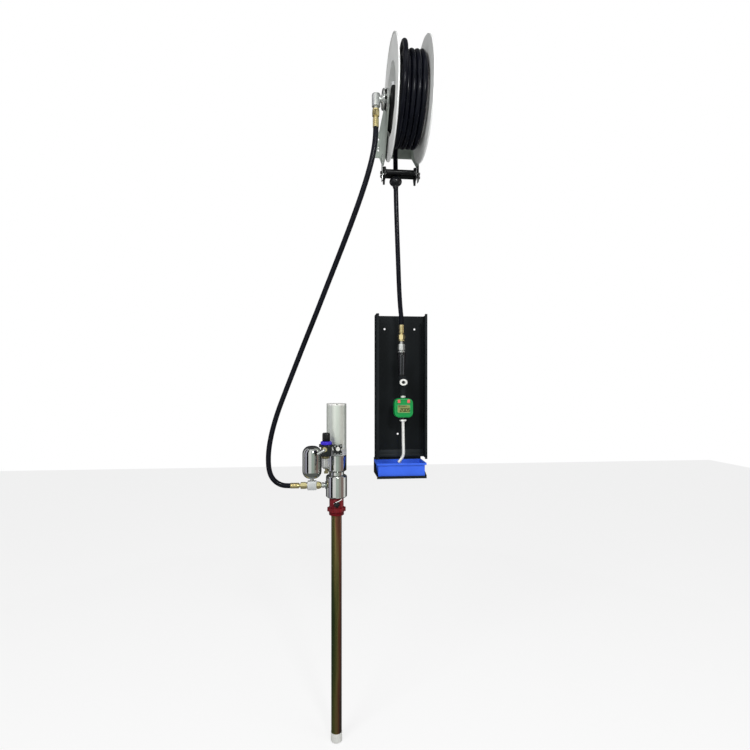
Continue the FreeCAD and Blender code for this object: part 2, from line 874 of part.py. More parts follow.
# from the reel's swivel in a long slack curve, round to the pump's outlet line
inlet_route = [
    (-113, -290, -70.5),
    (-113, -290, -104),
    (-122, -286, -165),
    (-138, -276, -228),
    (-161, -260, -300),
    (-194, -235, -390),
    (-236, -201, -496),
    (-282, -164, -608),
    (-328, -132, -722),
    (-373, -105, -831),
    (-414.5, -88, -936),
    (-451, -81, -1030),
    (-480, -80, -1107),
    (-499, -80, -1171),
    (-510, -80, -1222),
    (-516, -80, -1265),
    (-517.1, -80, -1302.2),
    (-514.1, -80, -1337.1),
    (-505.6, -80, -1362.7),
    (-491.4, -80, -1381.2),
    (-473, -80, -1393.7),
    (-452, -80, -1400),
    (-430.5, -80, -1400),
]


def line_end(hose_start, headings):
    """The crimped ferrule, its neck and the swivel nut at one end of a hose."""
    forward, turn = headings

    def ahead(distance):
        return tuple(hose_start[i] + sized(distance) * forward[i] for i in range(3))

    crimp = rod(s.ferrule_radius, s.ferrule_length, hose_start, turn)
    neck = rod(s.ferrule_neck_radius, s.ferrule_neck, ahead(s.ferrule_length), turn)
    sleeve = fuse(crimp, neck)
    bore = rod(s.hose_bore_radius, s.ferrule_length + s.ferrule_neck, hose_start, turn)
    nut_at = ahead(s.ferrule_length + s.ferrule_neck)
    nut = hexagon(s.hose_nut_flats, s.hose_nut_length, nut_at, turn)
    hole = rod(s.hose_bore_radius, s.hose_nut_length, nut_at, turn)
    return cut(sleeve, bore), cut(nut, hole)


line_length = s.ferrule_length + s.ferrule_neck + s.hose_nut_length
UP = ((0, 0, 1), UPRIGHT)
DOWN = ((0, 0, -1), UPSIDE_DOWN)
RIGHT = ((1, 0, 0), ALONG_X)


def build_hose_ends():
    reel_end = (*swivel_at, s.axle_rise - s.swivel_drop - line_length)
    gun_end = (grip_x, gun_y, -s.gun_hose_end)
    pump_end = (tee_left - line_length, pump_y, outlet_z)
    ends = [line_end(reel_end, UP), line_end(gun_end, DOWN), line_end(pump_end, RIGHT)]
    node("hose_ferrules", group(*[ferrule for ferrule, nut in ends]))
    node("hose_nuts", group(*[nut for ferrule, nut in ends]))


# ---------------------------------------------------------------- console

console_left = s.console_centre - s.console_width / 2
console_right = s.console_centre + s.console_width / 2


def build_console_panel():
    """A folded channel, open at the front between two narrow lips."""
    front = -s.console_depth
    sheet_t = s.console_sheet
    outline = [
        (console_left, 0),
        (console_left, front),
        (console_left + s.console_lip, front),
        (console_left + s.console_lip, front + sheet_t),
        (console_left + sheet_t, front + sheet_t),
        (console_left + sheet_t, -sheet_t),
        (console_right - sheet_t, -sheet_t),
        (console_right - sheet_t, front + sheet_t),
        (console_right - s.console_lip, front + sheet_t),
        (console_right - s.console_lip, front),
        (console_right, front),
        (console_right, 0),
    ]
    height = s.console_bottom - s.console_top
    rounds = [((0, 1, 10, 11), s.console_corner), ((4, 5, 6, 7), s.console_corner - sheet_t)]
    channel = plate(outline, height, (0, 0, -s.console_bottom), UPRIGHT, rounds=rounds)
    spots = [(s.console_low_hole, -s.console_low_drop)]
    for side in (-1, 1):
        across = s.console_hole_centre + s.console_hole_spacing / 2 * side
        spots.append((across, -s.console_top - s.console_hole_drop))
    holes = [rod(s.console_hole_radius, sheet_t * 3, (x, -sheet_t * 2, z), ALONG_Y) for x, z in spots]
    node("console_panel", cut(channel, *holes))


def build_drip_shelf():
    """A folded ledge below the console, with a back, two sloping sides and a front lip."""
    thin = s.shelf_sheet
    level = -s.shelf_level
    middle = (s.shelf_centre, -s.shelf_depth / 2, level)
    floor = block(s.shelf_width, s.shelf_depth, thin, middle)
    rise = s.shelf_level - s.console_bottom
    back = block(s.shelf_width, thin, rise, (s.shelf_centre, -thin / 2, level))
    front = -s.shelf_depth
    cheek = [(0, 0), (s.shelf_side_height, 0), (thin * 2, front), (0, front)]
    sides = []
    for edge in (s.shelf_centre - s.shelf_width / 2 + thin, s.shelf_centre + s.shelf_width / 2):
        sides.append(plate(cheek, thin, (edge, 0, level), AGAINST_X))
    lip_at = (s.shelf_centre, -s.shelf_depth + thin / 2, level - s.shelf_lip)
    lip = block(s.shelf_width, thin, s.shelf_lip, lip_at)
    node("drip_shelf", fuse(floor, back, lip, *sides))


def build_drip_tray():
    """An open tray whose rim turns out and down, flush with its shelf, along which it slides."""
    tray_width = s.shelf_width - s.tray_rim * 2
    floor_z = s.shelf_sheet - s.shelf_level + s.seat_gap
    middle_y = -s.tray_rear_gap - s.tray_depth / 2
    middle = (s.shelf_centre, middle_y, floor_z)
    shell = block(tray_width, s.tray_depth, s.tray_height, middle)
    wall = s.tray_wall
    skirt_z = floor_z + s.tray_height - s.tray_skirt

    def layer(spread, height, level):
        return block(tray_width + spread * 2, s.tray_depth + spread * 2, height,
                     (s.shelf_centre, middle_y, level))

    skirt = layer(s.tray_rim, s.tray_skirt, skirt_z)
    under = layer(s.tray_rim - wall, s.tray_skirt - wall, skirt_z)
    hollow = layer(-wall, s.tray_height, floor_z + wall)
    node("drip_tray", cut(fuse(shell, cut(skirt, under)), hollow))


# ---------------------------------------------------------------- gun and meter

gun_x = s.gun_offset
grip_x = gun_x - s.grip_shift
gun_y = -s.gun_standoff
swivel_top = -s.gun_hose_end - line_length
grip_top = swivel_top - s.gun_swivel_length
valve_top = grip_top - s.grip_length
meter_nut_top = valve_top - s.valve_length
meter_top = meter_nut_top - s.meter_nut_length
meter_foot = meter_top - s.meter_height
meter_front = gun_y - s.meter_depth / 2
spout_top = meter_foot - s.spout_nut_length
flow_bore = s.hose_bore_radius
trigger_y = gun_y + s.valve_radius * 2 - s.trigger_thickness
trigger_z = valve_top - s.valve_ring_drop
cap_face = gun_y - s.valve_radius - s.valve_cap_thickness * 0.4


def build_gun_swivel():
    """The collar and hexagon that the gun turns in, screwed to the hose nut."""
    foot = swivel_top - s.gun_swivel_length
    hex_length = s.gun_swivel_length - s.gun_collar
    body = hexagon(s.gun_swivel_flats, hex_length, (grip_x, gun_y, foot))
    collar = rod(s.gun_swivel_flats * 0.42, s.gun_collar, (grip_x, gun_y, foot + hex_length))
    bore = rod(flow_bore, s.gun_swivel_length, (grip_x, gun_y, foot))
    node("gun_swivel", cut(fuse(body, collar), bore))


def build_gun_handle():
    """The moulded grip, which tapers towards the valve."""
    foot = grip_top - s.grip_length
    waist = (s.grip_top_radius + s.grip_bottom_radius) / 2
    profile = [
        (flow_bore, 0),
        (s.grip_bottom_radius, 0),
        (waist, s.grip_length * 0.5),
        (s.grip_top_radius, s.grip_length * 0.85),
        (s.grip_top_radius, s.grip_length - s.seat_gap),
        (flow_bore, s.grip_length - s.seat_gap),
    ]
    node("gun_handle", turned(profile, (grip_x, gun_y, foot), rounds=[(4, s.grip_bottom_radius * 0.25)]))


def build_gun_valve():
    """The valve casting, with a face for its cap and a lug for the trigger."""
    foot = valve_top - s.valve_length
    profile = [
        (flow_bore, 0),
        (s.valve_neck_radius, 0),
        (s.valve_neck_radius, s.valve_length * 0.3),
        (s.valve_radius, s.valve_length * 0.5),
        (s.valve_radius, s.valve_length * 0.85),
        (s.grip_bottom_radius, s.valve_length),
        (flow_bore, s.valve_length),
    ]
    casting = turned(profile, (gun_x, gun_y, foot))
    seat_depth = s.valve_length * 0.15
    seat = rod(s.grip_bottom_radius, seat_depth, (grip_x, gun_y, valve_top - seat_depth))
    face = rod(s.valve_cap_radius, gun_y - cap_face, (gun_x, cap_face, trigger_z), ALONG_Y)
    lug_back = trigger_y + s.trigger_pin_radius * 2
    lug_depth = lug_back - gun_y - s.valve_radius * 0.5
    lug_at = (gun_x, lug_back - lug_depth / 2, trigger_z - s.trigger_width / 2)
    lug = block(s.trigger_width / 2, lug_depth, s.trigger_width, lug_at)
    pin_hole = rod(s.trigger_pin_radius, s.trigger_width * 2,
                   (gun_x - s.trigger_width, trigger_y, trigger_z), ALONG_X)
    bore = rod(flow_bore, s.valve_length, (gun_x, gun_y, foot))
    inlet = rod(flow_bore, seat_depth, (grip_x, gun_y, valve_top - seat_depth))
    node("gun_valve", cut(fuse(casting, seat, face, lug), pin_hole, bore, inlet))


def build_gun_fasteners():
    """The valve's ring cap, the trigger pin and the two nuts of the meter."""
    thick = s.valve_cap_thickness
    cap_at = (gun_x, cap_face - thick, trigger_z)
    ring = rod(s.valve_cap_radius, thick, cap_at, ALONG_Y)
    well = rod(s.valve_cap_bore, thick, cap_at, ALONG_Y)
    pin_half = s.trigger_width / 2 + s.trigger_pin_radius / 2
    pin = rod(s.trigger_pin_radius, pin_half * 2, (gun_x - pin_half, trigger_y, trigger_z), ALONG_X)
    top_at = (gun_x, gun_y, meter_top)
    top_nut = hexagon(s.meter_nut_flats, s.meter_nut_length, top_at)
    low_at = (gun_x, gun_y, spout_top)
    low_nut = hexagon(s.spout_nut_flats, s.spout_nut_length, low_at)
    top_bore = rod(flow_bore, s.meter_nut_length, top_at)
    low_bore = rod(flow_bore, s.spout_nut_length, low_at)
    node("gun_fasteners", group(cut(ring, well), pin, cut(top_nut, top_bore), cut(low_nut, low_bore)))


def build_gun_trigger():
    """A lever behind the grip, forked over the valve's lug."""
    foot = trigger_z - s.trigger_thickness
    lever = block(s.trigger_width, s.trigger_thickness, s.trigger_length, (gun_x, trigger_y, foot))
    eye_at = (gun_x - s.trigger_width / 2, trigger_y, trigger_z)
    eye = rod(s.trigger_thickness, s.trigger_width, eye_at, ALONG_X)
    slot_height = s.trigger_width + s.trigger_thickness * 2
    slot_at = (gun_x, trigger_y, trigger_z - slot_height / 2)
    slot = block(s.trigger_width / 2 + s.body_gap * 2, s.trigger_thickness * 4, slot_height, slot_at)
    hole = rod(s.trigger_pin_radius + s.running_gap, s.trigger_width, eye_at, ALONG_X)
    node("gun_trigger", cut(fuse(lever, eye), slot, hole))


def build_meter():
    """The meter's housing, with its screen recess and its two button pockets."""
    half = s.meter_width / 2
    outline = [(-half, 0), (half, 0), (half, s.meter_height), (-half, s.meter_height)]
    spot = (gun_x, gun_y + s.meter_depth / 2, meter_foot)
    rounds = [((0, 1, 2, 3), s.meter_corner)]
    shell = plate(outline, s.meter_depth, spot, FACING_FRONT, rounds=rounds, pillow=s.meter_pillow)
    screen_z = meter_top - s.screen_drop - s.screen_height / 2
    screen_y = meter_front + s.meter_recess / 2
    tools = [block(s.screen_width, s.meter_recess, s.screen_height, (gun_x, screen_y, screen_z))]
    gap = s.body_gap
    button_z = meter_top - s.button_drop - s.button_height / 2
    for side, label in ((-1, "meter_button_left"), (1, "meter_button_right")):
        across = gun_x + s.button_spacing / 2 * side
        pocket_y = meter_front + s.button_pocket / 2
        pocket = (across, pocket_y, button_z - gap / 2)
        tools.append(block(s.button_width + gap, s.button_pocket, s.button_height + gap, pocket))
        length = s.button_pocket * 0.7 + s.button_proud
        spot_y = meter_front - s.button_proud + length / 2
        node(label, block(s.button_width, length, s.button_height, (across, spot_y, button_z)))
    tools.append(rod(flow_bore, s.meter_height, (gun_x, gun_y, meter_foot)))
    node("meter_housing", cut(shell, *tools))


def build_spout_tube():
    """A thin steel pipe, straight down and then bent towards the left."""
    top = (spout_top - s.seat_gap).value
    across = gun_x.value
    depth = gun_y.value
    bend_at = (across + SIZES["spout_lean"], depth, top - SIZES["spout_straight"])
    tip_at = (bend_at[0] - SIZES["spout_reach"], depth, bend_at[2] - SIZES["spout_drop"])
    points = [(across, depth, top), bend_at, tip_at]
    outer = swept(points, SIZES["spout_radius"])[0]
    inner = swept(points, SIZES["spout_radius"] - SIZES["spout_wall"])[0]
    pipe = doc.addObject("Part::Feature", "Spout")
    pipe.Shape = outer.cut(inner)
    node("spout_tube", pipe)


# ---------------------------------------------------------------- pump

pump_x = -s.pump_offset
pump_y = -s.pump_standoff
adapter_top = -s.bung_level + s.star_ring_height + s.adapter_height
lower_top = adapter_top + s.lower_body_height
upper_top = lower_top + s.neck_height + s.upper_body_height
base_top = upper_top + s.motor_base_height
cylinder_top = base_top + s.cylinder_height
tube_foot = adapter_top - s.tube_length
foot_z = tube_foot - s.foot_height
rod_hole = s.rod_radius + s.body_gap
chamfer = s.shoulder_round / 4
outlet_z = -s.bung_level + s.outlet_level


def on_pump(level):
    return (pump_x, pump_y, level)


def build_bung_adapter():
    """The red body that screws into the drum and grips the suction tube."""
    top = s.bung_thread_length + s.star_ring_height + s.adapter_height
    profile = [
        (s.tube_radius + s.seat_gap, 0),
        (s.bung_thread_radius - chamfer, 0),
        (s.bung_thread_radius, chamfer),
        (s.bung_thread_radius, s.bung_thread_length),
        (s.adapter_radius, s.bung_thread_length),
        (s.adapter_radius, top),
        (s.tube_radius + s.seat_gap, top),
    ]
    body = turned(profile, on_pump(-s.bung_level - s.bung_thread_length))
    hole_at = (pump_x, pump_y - s.adapter_radius * 1.2, clamp_z)
    hole = rod(s.clamp_screw_radius + s.running_gap, s.adapter_radius, hole_at, ALONG_Y)
    node("bung_adapter", cut(body, hole))


clamp_z = -s.bung_level + s.clamp_level


def build_star_ring():
    """The lobed ring that is gripped to tighten the adapter."""
    body = doc.addObject("PartDesign::Body", "Ring")
    band = Drawing(body, "XY_Plane")
    band.circle((0, 0), s.star_ring_radius)
    band.circle((0, 0), s.adapter_radius + s.running_gap)
    height = s.star_ring_height - s.seat_gap
    pad = body.newObject("PartDesign::Pad", "Band")
    pad.Profile = band.sketch
    bind(pad, "Length", height)
    lobe = Drawing(body, "XY_Plane")
    lobe.circle((s.star_ring_radius - s.star_lobe_radius * 0.4, 0), s.star_lobe_radius)
    bump = body.newObject("PartDesign::Pad", "Lobe")
    bump.Profile = lobe.sketch
    bind(bump, "Length", height)
    doc.recompute()
    lobes = body.newObject("PartDesign::PolarPattern", "Lobes")
    lobes.Originals = [bump]
    lobes.Axis = (lobe.sketch, ["N_Axis"])
    lobes.Angle = 360
    lobes.Occurrences = 6
    body.Tip = lobes
    place(body, on_pump(-s.bung_level))
    eye = rod(s.adapter_radius + s.running_gap, s.star_ring_height, on_pump(-s.bung_level))
    node("star_ring", cut(body, eye))


def build_clamp_knob():
    """The wing screw that clamps the adapter on the tube."""
    screw = s.adapter_radius - s.tube_radius
    screw_at = (pump_x, pump_y - s.adapter_radius - s.body_gap, clamp_z)
    hub_length = s.clamp_screw_radius * 3
    hub_at = (pump_x, screw_at[1] - hub_length, clamp_z)
    shank = rod(s.clamp_screw_radius, screw, screw_at, ALONG_Y)
    hub = rod(s.clamp_screw_radius * 2, hub_length, hub_at, ALONG_Y)
    wings = []
    for side in (-1, 1):
        spot = (pump_x + s.clamp_screw_radius * 2.2 * side, hub_at[1], clamp_z)
        wings.append(rod(s.clamp_screw_radius * 1.25, hub_length * 0.8, spot, ALONG_Y))
    node("clamp_knob", fuse(shank, hub, *wings))


def build_lower_body():
    """The plated pump cylinder, with the outlet boss on its left."""
    bore = s.lower_bore_radius + s.running_gap
    outer = s.lower_body_radius
    tall = s.lower_body_height
    profile = [
        (bore, 0),
        (outer - chamfer * 2, 0),
        (outer, chamfer * 2),
        (outer, tall),
        (rod_hole, tall),
        (rod_hole, tall - s.lower_web),
        (bore, tall - s.lower_web),
    ]
    body = turned(profile, on_pump(adapter_top), rounds=[(3, s.shoulder_round)])
    boss = rod(s.outlet_boss_radius, s.outlet_boss_reach - s.lower_bore_radius * 1.2,
               (pump_x - s.outlet_boss_reach, pump_y, outlet_z), ALONG_X)
    port = rod(s.outlet_bore, s.outlet_boss_reach, (pump_x - s.outlet_boss_reach, pump_y, outlet_z), ALONG_X)
    node("lower_body", cut(fuse(body, boss), port))


def build_upper_body():
    """The plated spacer between pump and motor, on a narrower neck."""
    tall = s.neck_height + s.upper_body_height
    neck = s.neck_height
    profile = [
        (s.gland_radius, 0),
        (s.neck_radius, 0),
        (s.neck_radius, neck * 0.7),
        (s.upper_body_radius - chamfer, neck),
        (s.upper_body_radius, neck + chamfer),
        (s.upper_body_radius, tall),
        (rod_hole, tall),
        (rod_hole, tall - s.lower_web),
        (s.neck_radius, tall - s.lower_web),
        (s.neck_radius, neck * 1.5),
        (s.gland_radius, neck * 1.5),
    ]
    node("upper_body", turned(profile, on_pump(lower_top), rounds=[(5, chamfer)]))


def build_gland_nut():
    ring = rod(s.gland_radius, s.gland_height, on_pump(lower_top))
    hole = rod(s.rod_radius + s.running_gap, s.gland_height, on_pump(lower_top))
    node("gland_nut", cut(ring, hole))


def build_motor_base():
    """The motor's foot, with a flat pad that carries the air valve block."""
    disc = rod(s.motor_base_radius, s.motor_base_height, on_pump(upper_top))
    depth = block_rear - pump_y
    pad = block(s.block_width, -depth, s.motor_base_height, (block_x, pump_y + depth / 2, upper_top))
    hole = rod(rod_hole, s.motor_base_height, on_pump(upper_top))
    node("air_motor_base", cut(fuse(disc, pad), hole))


def build_air_cylinder():
    tube = rod(s.cylinder_radius, s.cylinder_height, on_pump(base_top))
    bore = rod(s.cylinder_bore, s.cylinder_height, on_pump(base_top))
    node("air_cylinder", cut(tube, bore))


def build_cylinder_cap():
    """The end cap, notched round its edge for six sunk screws."""
    plug = rod(s.cylinder_radius, s.cap_height, on_pump(cylinder_top))
    notches = []
    screws = []
    for turn in range(6):
        angle = math.pi * (2 * turn + 1) / 6
        across = pump_x + s.cap_screw_circle * math.cos(angle)
        deep = pump_y + s.cap_screw_circle * math.sin(angle)
        seat = cylinder_top + s.cap_height / 3
        notches.append(rod(s.cap_screw_radius + s.seat_gap, s.cap_height, (across, deep, seat)))
        head = rod(s.cap_screw_radius, s.cap_height / 3, (across, deep, seat))
        socket = hexagon(s.cap_screw_radius, s.cap_height / 4, (across, deep, seat + s.cap_height / 6))
        screws.append(cut(head, socket))
    node("air_cylinder_cap", cut(plug, *notches))
    node("cap_screws", group(*screws))


piston_z = base_top + s.body_gap
pump_piston_z = adapter_top + s.body_gap


def build_pistons():
    """The air piston, its rod down through the gland, and the pump piston."""
    node("air_piston", rod(s.cylinder_bore - s.running_gap, s.piston_height, on_pump(piston_z)))
    rod_foot = pump_piston_z + s.pump_piston_height
    node("piston_rod", rod(s.rod_radius, piston_z - rod_foot, on_pump(rod_foot)))
    node("pump_piston", rod(s.lower_bore_radius, s.pump_piston_height, on_pump(pump_piston_z)))


def build_suction_tube():
    tube = rod(s.tube_radius, s.tube_length, on_pump(tube_foot))
    bore = rod(s.tube_radius - s.tube_wall, s.tube_length, on_pump(tube_foot))
    node("suction_tube", cut(tube, bore))


def build_foot_valve():
    """A cage with a ball on a seat: oil lifts the ball, and the pin stops it."""
    floor = s.foot_height * 0.22
    profile = [
        (s.seat_radius, 0),
        (s.foot_radius - chamfer, 0),
        (s.foot_radius, chamfer),
        (s.foot_radius, s.foot_height),
        (s.foot_bore, s.foot_height),
        (s.foot_bore, floor),
        (s.seat_radius, floor),
    ]
    cage = turned(profile, on_pump(foot_z))
    sink = root_of(s.ball_valve_radius * s.ball_valve_radius - s.seat_radius * s.seat_radius)
    rest = foot_z + floor + sink + s.seat_gap
    pin_radius = s.ball_valve_radius / 6
    pin_z = rest + s.ball_valve_radius + s.ball_lift + pin_radius + s.body_gap
    across = s.foot_bore + s.tube_wall
    pin = rod(pin_radius, across * 2, (pump_x - across, pump_y, pin_z), ALONG_X)
    node("foot_valve", fuse(cage, pin))
    node("foot_ball", ball(s.ball_valve_radius, on_pump(rest)))


# ---------------------------------------------------------------- air side

block_x = pump_x + s.block_shift
block_rear = pump_y - s.motor_base_radius - s.running_gap * 10
block_left = block_x - s.block_width / 2
block_z = base_top - s.motor_base_height * 0.7
nipple_y = block_rear - s.block_depth * 0.66
nipple_z = block_z + s.block_height * 0.6
regulator_x = block_left - s.nipple_length - s.regulator_width / 2
regulator_y = -s.regulator_standoff
regulator_z = block_z - s.regulator_level + s.nipple_radius / 6
regulator_top = regulator_z + s.regulator_height
regulator_front = regulator_y - s.regulator_depth / 2


def build_valve_block():
    spot = (block_x, block_rear - s.block_depth / 2, block_z)
    node("air_valve_block", block(s.block_width, s.block_depth, s.block_height, spot))


def build_air_fittings():
    """The nipple to the regulator, the block's union and the slanting inlet plug."""
    nipple_at = (block_left - s.nipple_length, nipple_y, nipple_z)
    nipple = rod(s.nipple_radius, s.nipple_length, nipple_at, ALONG_X)
    union_length = s.nipple_length * 2
    face = block_rear - s.block_depth
    union = hexagon(s.nipple_radius * 2.2, union_length, (block_x, face - union_length, nipple_z), ALONG_Y)
    port_length = s.nipple_length * 2
    port_at = (regulator_x - s.nipple_radius, regulator_front - port_length, nipple_z)
    port = rod(s.nipple_radius, port_length, port_at, ALONG_Y)
    knuckle = ball(s.nipple_radius * 1.1, port_at)
    slant = FreeCAD.Rotation(FreeCAD.Vector(0, 1, 0), -120)
    collar = rod(s.nipple_radius * 1.15, s.nipple_length * 1.5, port_at, slant)
    plug = rod(s.nipple_radius * 0.85, s.nipple_length * 5, port_at, slant)
    node("air_fittings", group(nipple, union, fuse(port, knuckle, fuse(collar, plug))))


def on_regulator(level):
    return (regulator_x, regulator_y, level)


def build_regulator():
    """The regulator, its coloured ring and knob, the filter bowl and its drain."""
    box_z = s.regulator_height - s.knob_ring_height / 4
    box = block(s.regulator_width, s.regulator_depth, box_z, on_regulator(regulator_z))
    collar = rod(s.knob_ring_radius * 0.9, s.regulator_height, on_regulator(regulator_z))
    node("regulator_body", fuse(box, collar))
    ring = rod(s.knob_ring_radius, s.knob_ring_height, on_regulator(regulator_top))
    node("regulator_ring", ring)
    knob_z = regulator_top + s.knob_ring_height + s.seat_gap
    profile = [
        (0, 0),
        (s.knob_radius, 0),
        (s.knob_radius, s.knob_height),
        (0, s.knob_height),
    ]
    node("regulator_knob", turned(profile, on_regulator(knob_z), rounds=[(2, s.knob_radius / 6)]))
    bowl_z = regulator_z - s.bowl_height
    cup = rod(s.bowl_radius, s.bowl_height, on_regulator(bowl_z))
    hollow = rod(s.bowl_radius * 0.85, s.bowl_height, on_regulator(bowl_z + s.tube_wall))
    node("filter_bowl", cut(cup, hollow))
    drain_z = bowl_z - s.seat_gap - s.drain_height
    stem = rod(s.drain_radius, s.drain_height, on_regulator(drain_z))
    wing = block(s.drain_radius * 3.4, s.drain_radius * 0.8, s.drain_height / 2, on_regulator(drain_z))
    node("drain_cock", fuse(stem, wing))


# ---------------------------------------------------------------- outlet line

nipple_right = pump_x - s.outlet_boss_reach
adapter_right = nipple_right - s.outlet_nipple_length
tee_right = adapter_right - s.outlet_adapter_length
tee_left = tee_right - s.tee_length
tee_x = tee_right - s.tee_length / 2


def on_line(along):
    return (along, pump_y, outlet_z)


def build_outlet_line():
    """The nipple, the adapter and the tee, all bored through."""
    length = s.outlet_nipple_length
    nipple = rod(s.outlet_nipple_radius, length, on_line(adapter_right), ALONG_X)
    node("outlet_nipple", cut(nipple, rod(s.outlet_bore, length, on_line(adapter_right), ALONG_X)))
    length = s.outlet_adapter_length
    adapter = hexagon(s.outlet_adapter_flats, length, on_line(tee_right), ALONG_X)
    node("outlet_adapter", cut(adapter, rod(s.outlet_bore, length, on_line(tee_right), ALONG_X)))
    body = block(s.tee_length, s.tee_width, s.tee_height, (tee_x, pump_y, outlet_z - s.tee_height / 2))
    across = rod(s.hose_bore_radius, s.tee_length, on_line(tee_left), ALONG_X)
    upward = rod(s.hose_bore_radius, s.tee_height, on_line(tee_x))
    node("tee_block", cut(body, across, upward))


def capsule(radius, height, level, roundness):
    profile = [(0, 0), (radius, 0), (radius, height), (0, height)]
    return turned(profile, (tee_x, pump_y, level), rounds=[(1, roundness), (2, roundness)])


def build_surge_tank():
    """The polished bottle on the tee that evens out the pump's strokes."""
    stem_z = outlet_z + s.tee_height / 2
    tank_z = stem_z + s.stem_height
    wall = s.tank_wall
    round_outer = s.tank_radius * 0.8
    shell = capsule(s.tank_radius, s.tank_height, tank_z, round_outer)
    inside = capsule(s.tank_radius - wall, s.tank_height - wall * 2, tank_z + wall, round_outer - wall)
    stem = rod(s.stem_radius, s.stem_height + wall / 2, (tee_x, pump_y, stem_z))
    bore = rod(s.hose_bore_radius, s.stem_height + wall * 2, (tee_x, pump_y, stem_z))
    node("surge_tank", cut(fuse(shell, stem), inside, bore))


# ---------------------------------------------------------------- building

build_drum_core()
build_flange("flange_left", -1)
build_flange("flange_right", 1)
build_wound_hose()
build_rewind_spring()
build_wall_plate()
build_side_arm("side_arm_left", -1)
build_side_arm("side_arm_right", 1)
build_pawl()
build_reel_axle()
build_arm_bolts()
build_swivel_body()
build_guide_straps()
build_guide_brackets()
build_roller("roller_front", -1)
build_roller("roller_rear", 1)
build_ball_stop()
hose("drop_hose", loose_turn() + drop_route, s.reel_hose_radius)
hose("inlet_hose", inlet_route, s.inlet_hose_radius)
build_hose_ends()
build_console_panel()
build_drip_shelf()
build_drip_tray()
build_gun_swivel()
build_gun_handle()
build_gun_valve()
build_gun_fasteners()
build_gun_trigger()
build_meter()
build_spout_tube()
build_bung_adapter()
build_star_ring()
build_clamp_knob()
build_lower_body()
build_upper_body()
build_gland_nut()
build_motor_base()
build_air_cylinder()
build_cylinder_cap()
build_pistons()
build_suction_tube()
build_foot_valve()
build_valve_block()
build_air_fittings()
build_regulator()
build_outlet_line()
build_surge_tank()

doc.recompute()
for thing in doc.Objects:
    if "Invalid" in thing.State or "Error" in thing.State:
        raise RuntimeError(f"{thing.Label} failed: {thing.State}")
for thing in nodes:
    if thing.Shape.isNull() or not thing.Shape.isValid():
        raise RuntimeError(f"{thing.Label} has no valid shape")

os.makedirs("parts", exist_ok=True)
for thing in nodes:
    thing.Shape.exportStep(f"parts/{thing.Label}.step")
print(f"{len(nodes)} sub-parts")
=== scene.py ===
import json
import math
import bpy
from mathutils import Matrix, Vector


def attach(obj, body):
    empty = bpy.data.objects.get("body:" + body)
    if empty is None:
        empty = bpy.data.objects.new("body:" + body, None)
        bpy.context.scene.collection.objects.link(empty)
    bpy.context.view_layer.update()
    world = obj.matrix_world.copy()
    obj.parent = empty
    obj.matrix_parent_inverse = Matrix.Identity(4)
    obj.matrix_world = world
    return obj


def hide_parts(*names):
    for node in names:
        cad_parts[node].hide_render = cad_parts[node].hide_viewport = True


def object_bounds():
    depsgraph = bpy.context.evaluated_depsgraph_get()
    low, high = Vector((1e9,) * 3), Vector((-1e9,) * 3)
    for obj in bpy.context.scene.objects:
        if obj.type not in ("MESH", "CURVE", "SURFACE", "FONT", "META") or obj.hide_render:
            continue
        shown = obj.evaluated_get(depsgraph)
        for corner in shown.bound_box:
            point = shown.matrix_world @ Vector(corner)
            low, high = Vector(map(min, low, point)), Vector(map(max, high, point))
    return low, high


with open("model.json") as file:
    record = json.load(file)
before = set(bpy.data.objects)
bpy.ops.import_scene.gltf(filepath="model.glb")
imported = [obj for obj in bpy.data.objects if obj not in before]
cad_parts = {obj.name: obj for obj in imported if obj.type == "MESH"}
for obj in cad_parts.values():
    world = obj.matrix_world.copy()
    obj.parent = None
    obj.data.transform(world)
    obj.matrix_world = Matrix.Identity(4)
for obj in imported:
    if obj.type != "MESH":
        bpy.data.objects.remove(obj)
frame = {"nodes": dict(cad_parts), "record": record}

cad_low, cad_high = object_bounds()
nodes = frame["nodes"]
for shown in bpy.context.selected_objects:
    shown.select_set(False)

Y = Vector((0, 1, 0))
AXLE_Y, AXLE_Z = -0.290, 0.032
GUIDE_Y, GUIDE_Z = -0.120, -0.167
HOSE_RADIUS = 0.0093


# ---------------------------------------------------------------- camera, stage and light

def make_camera():
    """Eye level with the gun, left of the console, turned a little to the right."""
    lens = bpy.data.cameras.new("camera")
    lens.sensor_width = 36
    lens.lens = 24.96
    lens.shift_y = 0.0133
    camera = bpy.data.objects.new("camera", lens)
    camera.location = (-0.3066, -2.160, -1.0015)
    camera.rotation_euler = (math.radians(90), 0, math.radians(-5.82))
    bpy.context.collection.objects.link(camera)
    bpy.context.scene.camera = camera


def make_floor():
    bpy.ops.mesh.primitive_plane_add(size=14, location=(0, 0, cad_low.z - 0.002))
    floor = bpy.context.object
    floor.name = "floor"
    paint = Paint("floor")
    mirrored = paint.node("ShaderNodeLightPath", "Is Glossy Ray")
    seen = paint.node("ShaderNodeLightPath", "Is Camera Ray")
    sight = seen + paint.node("ShaderNodeLightPath", "Is Transmission Ray")
    tone = paint.mix(mirrored, WHITE, MIRROR_FLOOR)
    glow = paint.node("ShaderNodeEmission", "Emission", {}, {"Color": tone})
    plain = paint.shader.outputs["BSDF"]
    paint.feed("Base Color", (0.9, 0.9, 0.9, 1))
    paint.feed("Roughness", 0.9)
    blend = paint.node("ShaderNodeMixShader", "Shader", {}, {0: sight * 0.72 + mirrored, 1: plain, 2: glow})
    paint.tree.links.new(blend.socket, paint.tree.nodes["Material Output"].inputs["Surface"])
    floor.data.materials.append(paint.material)


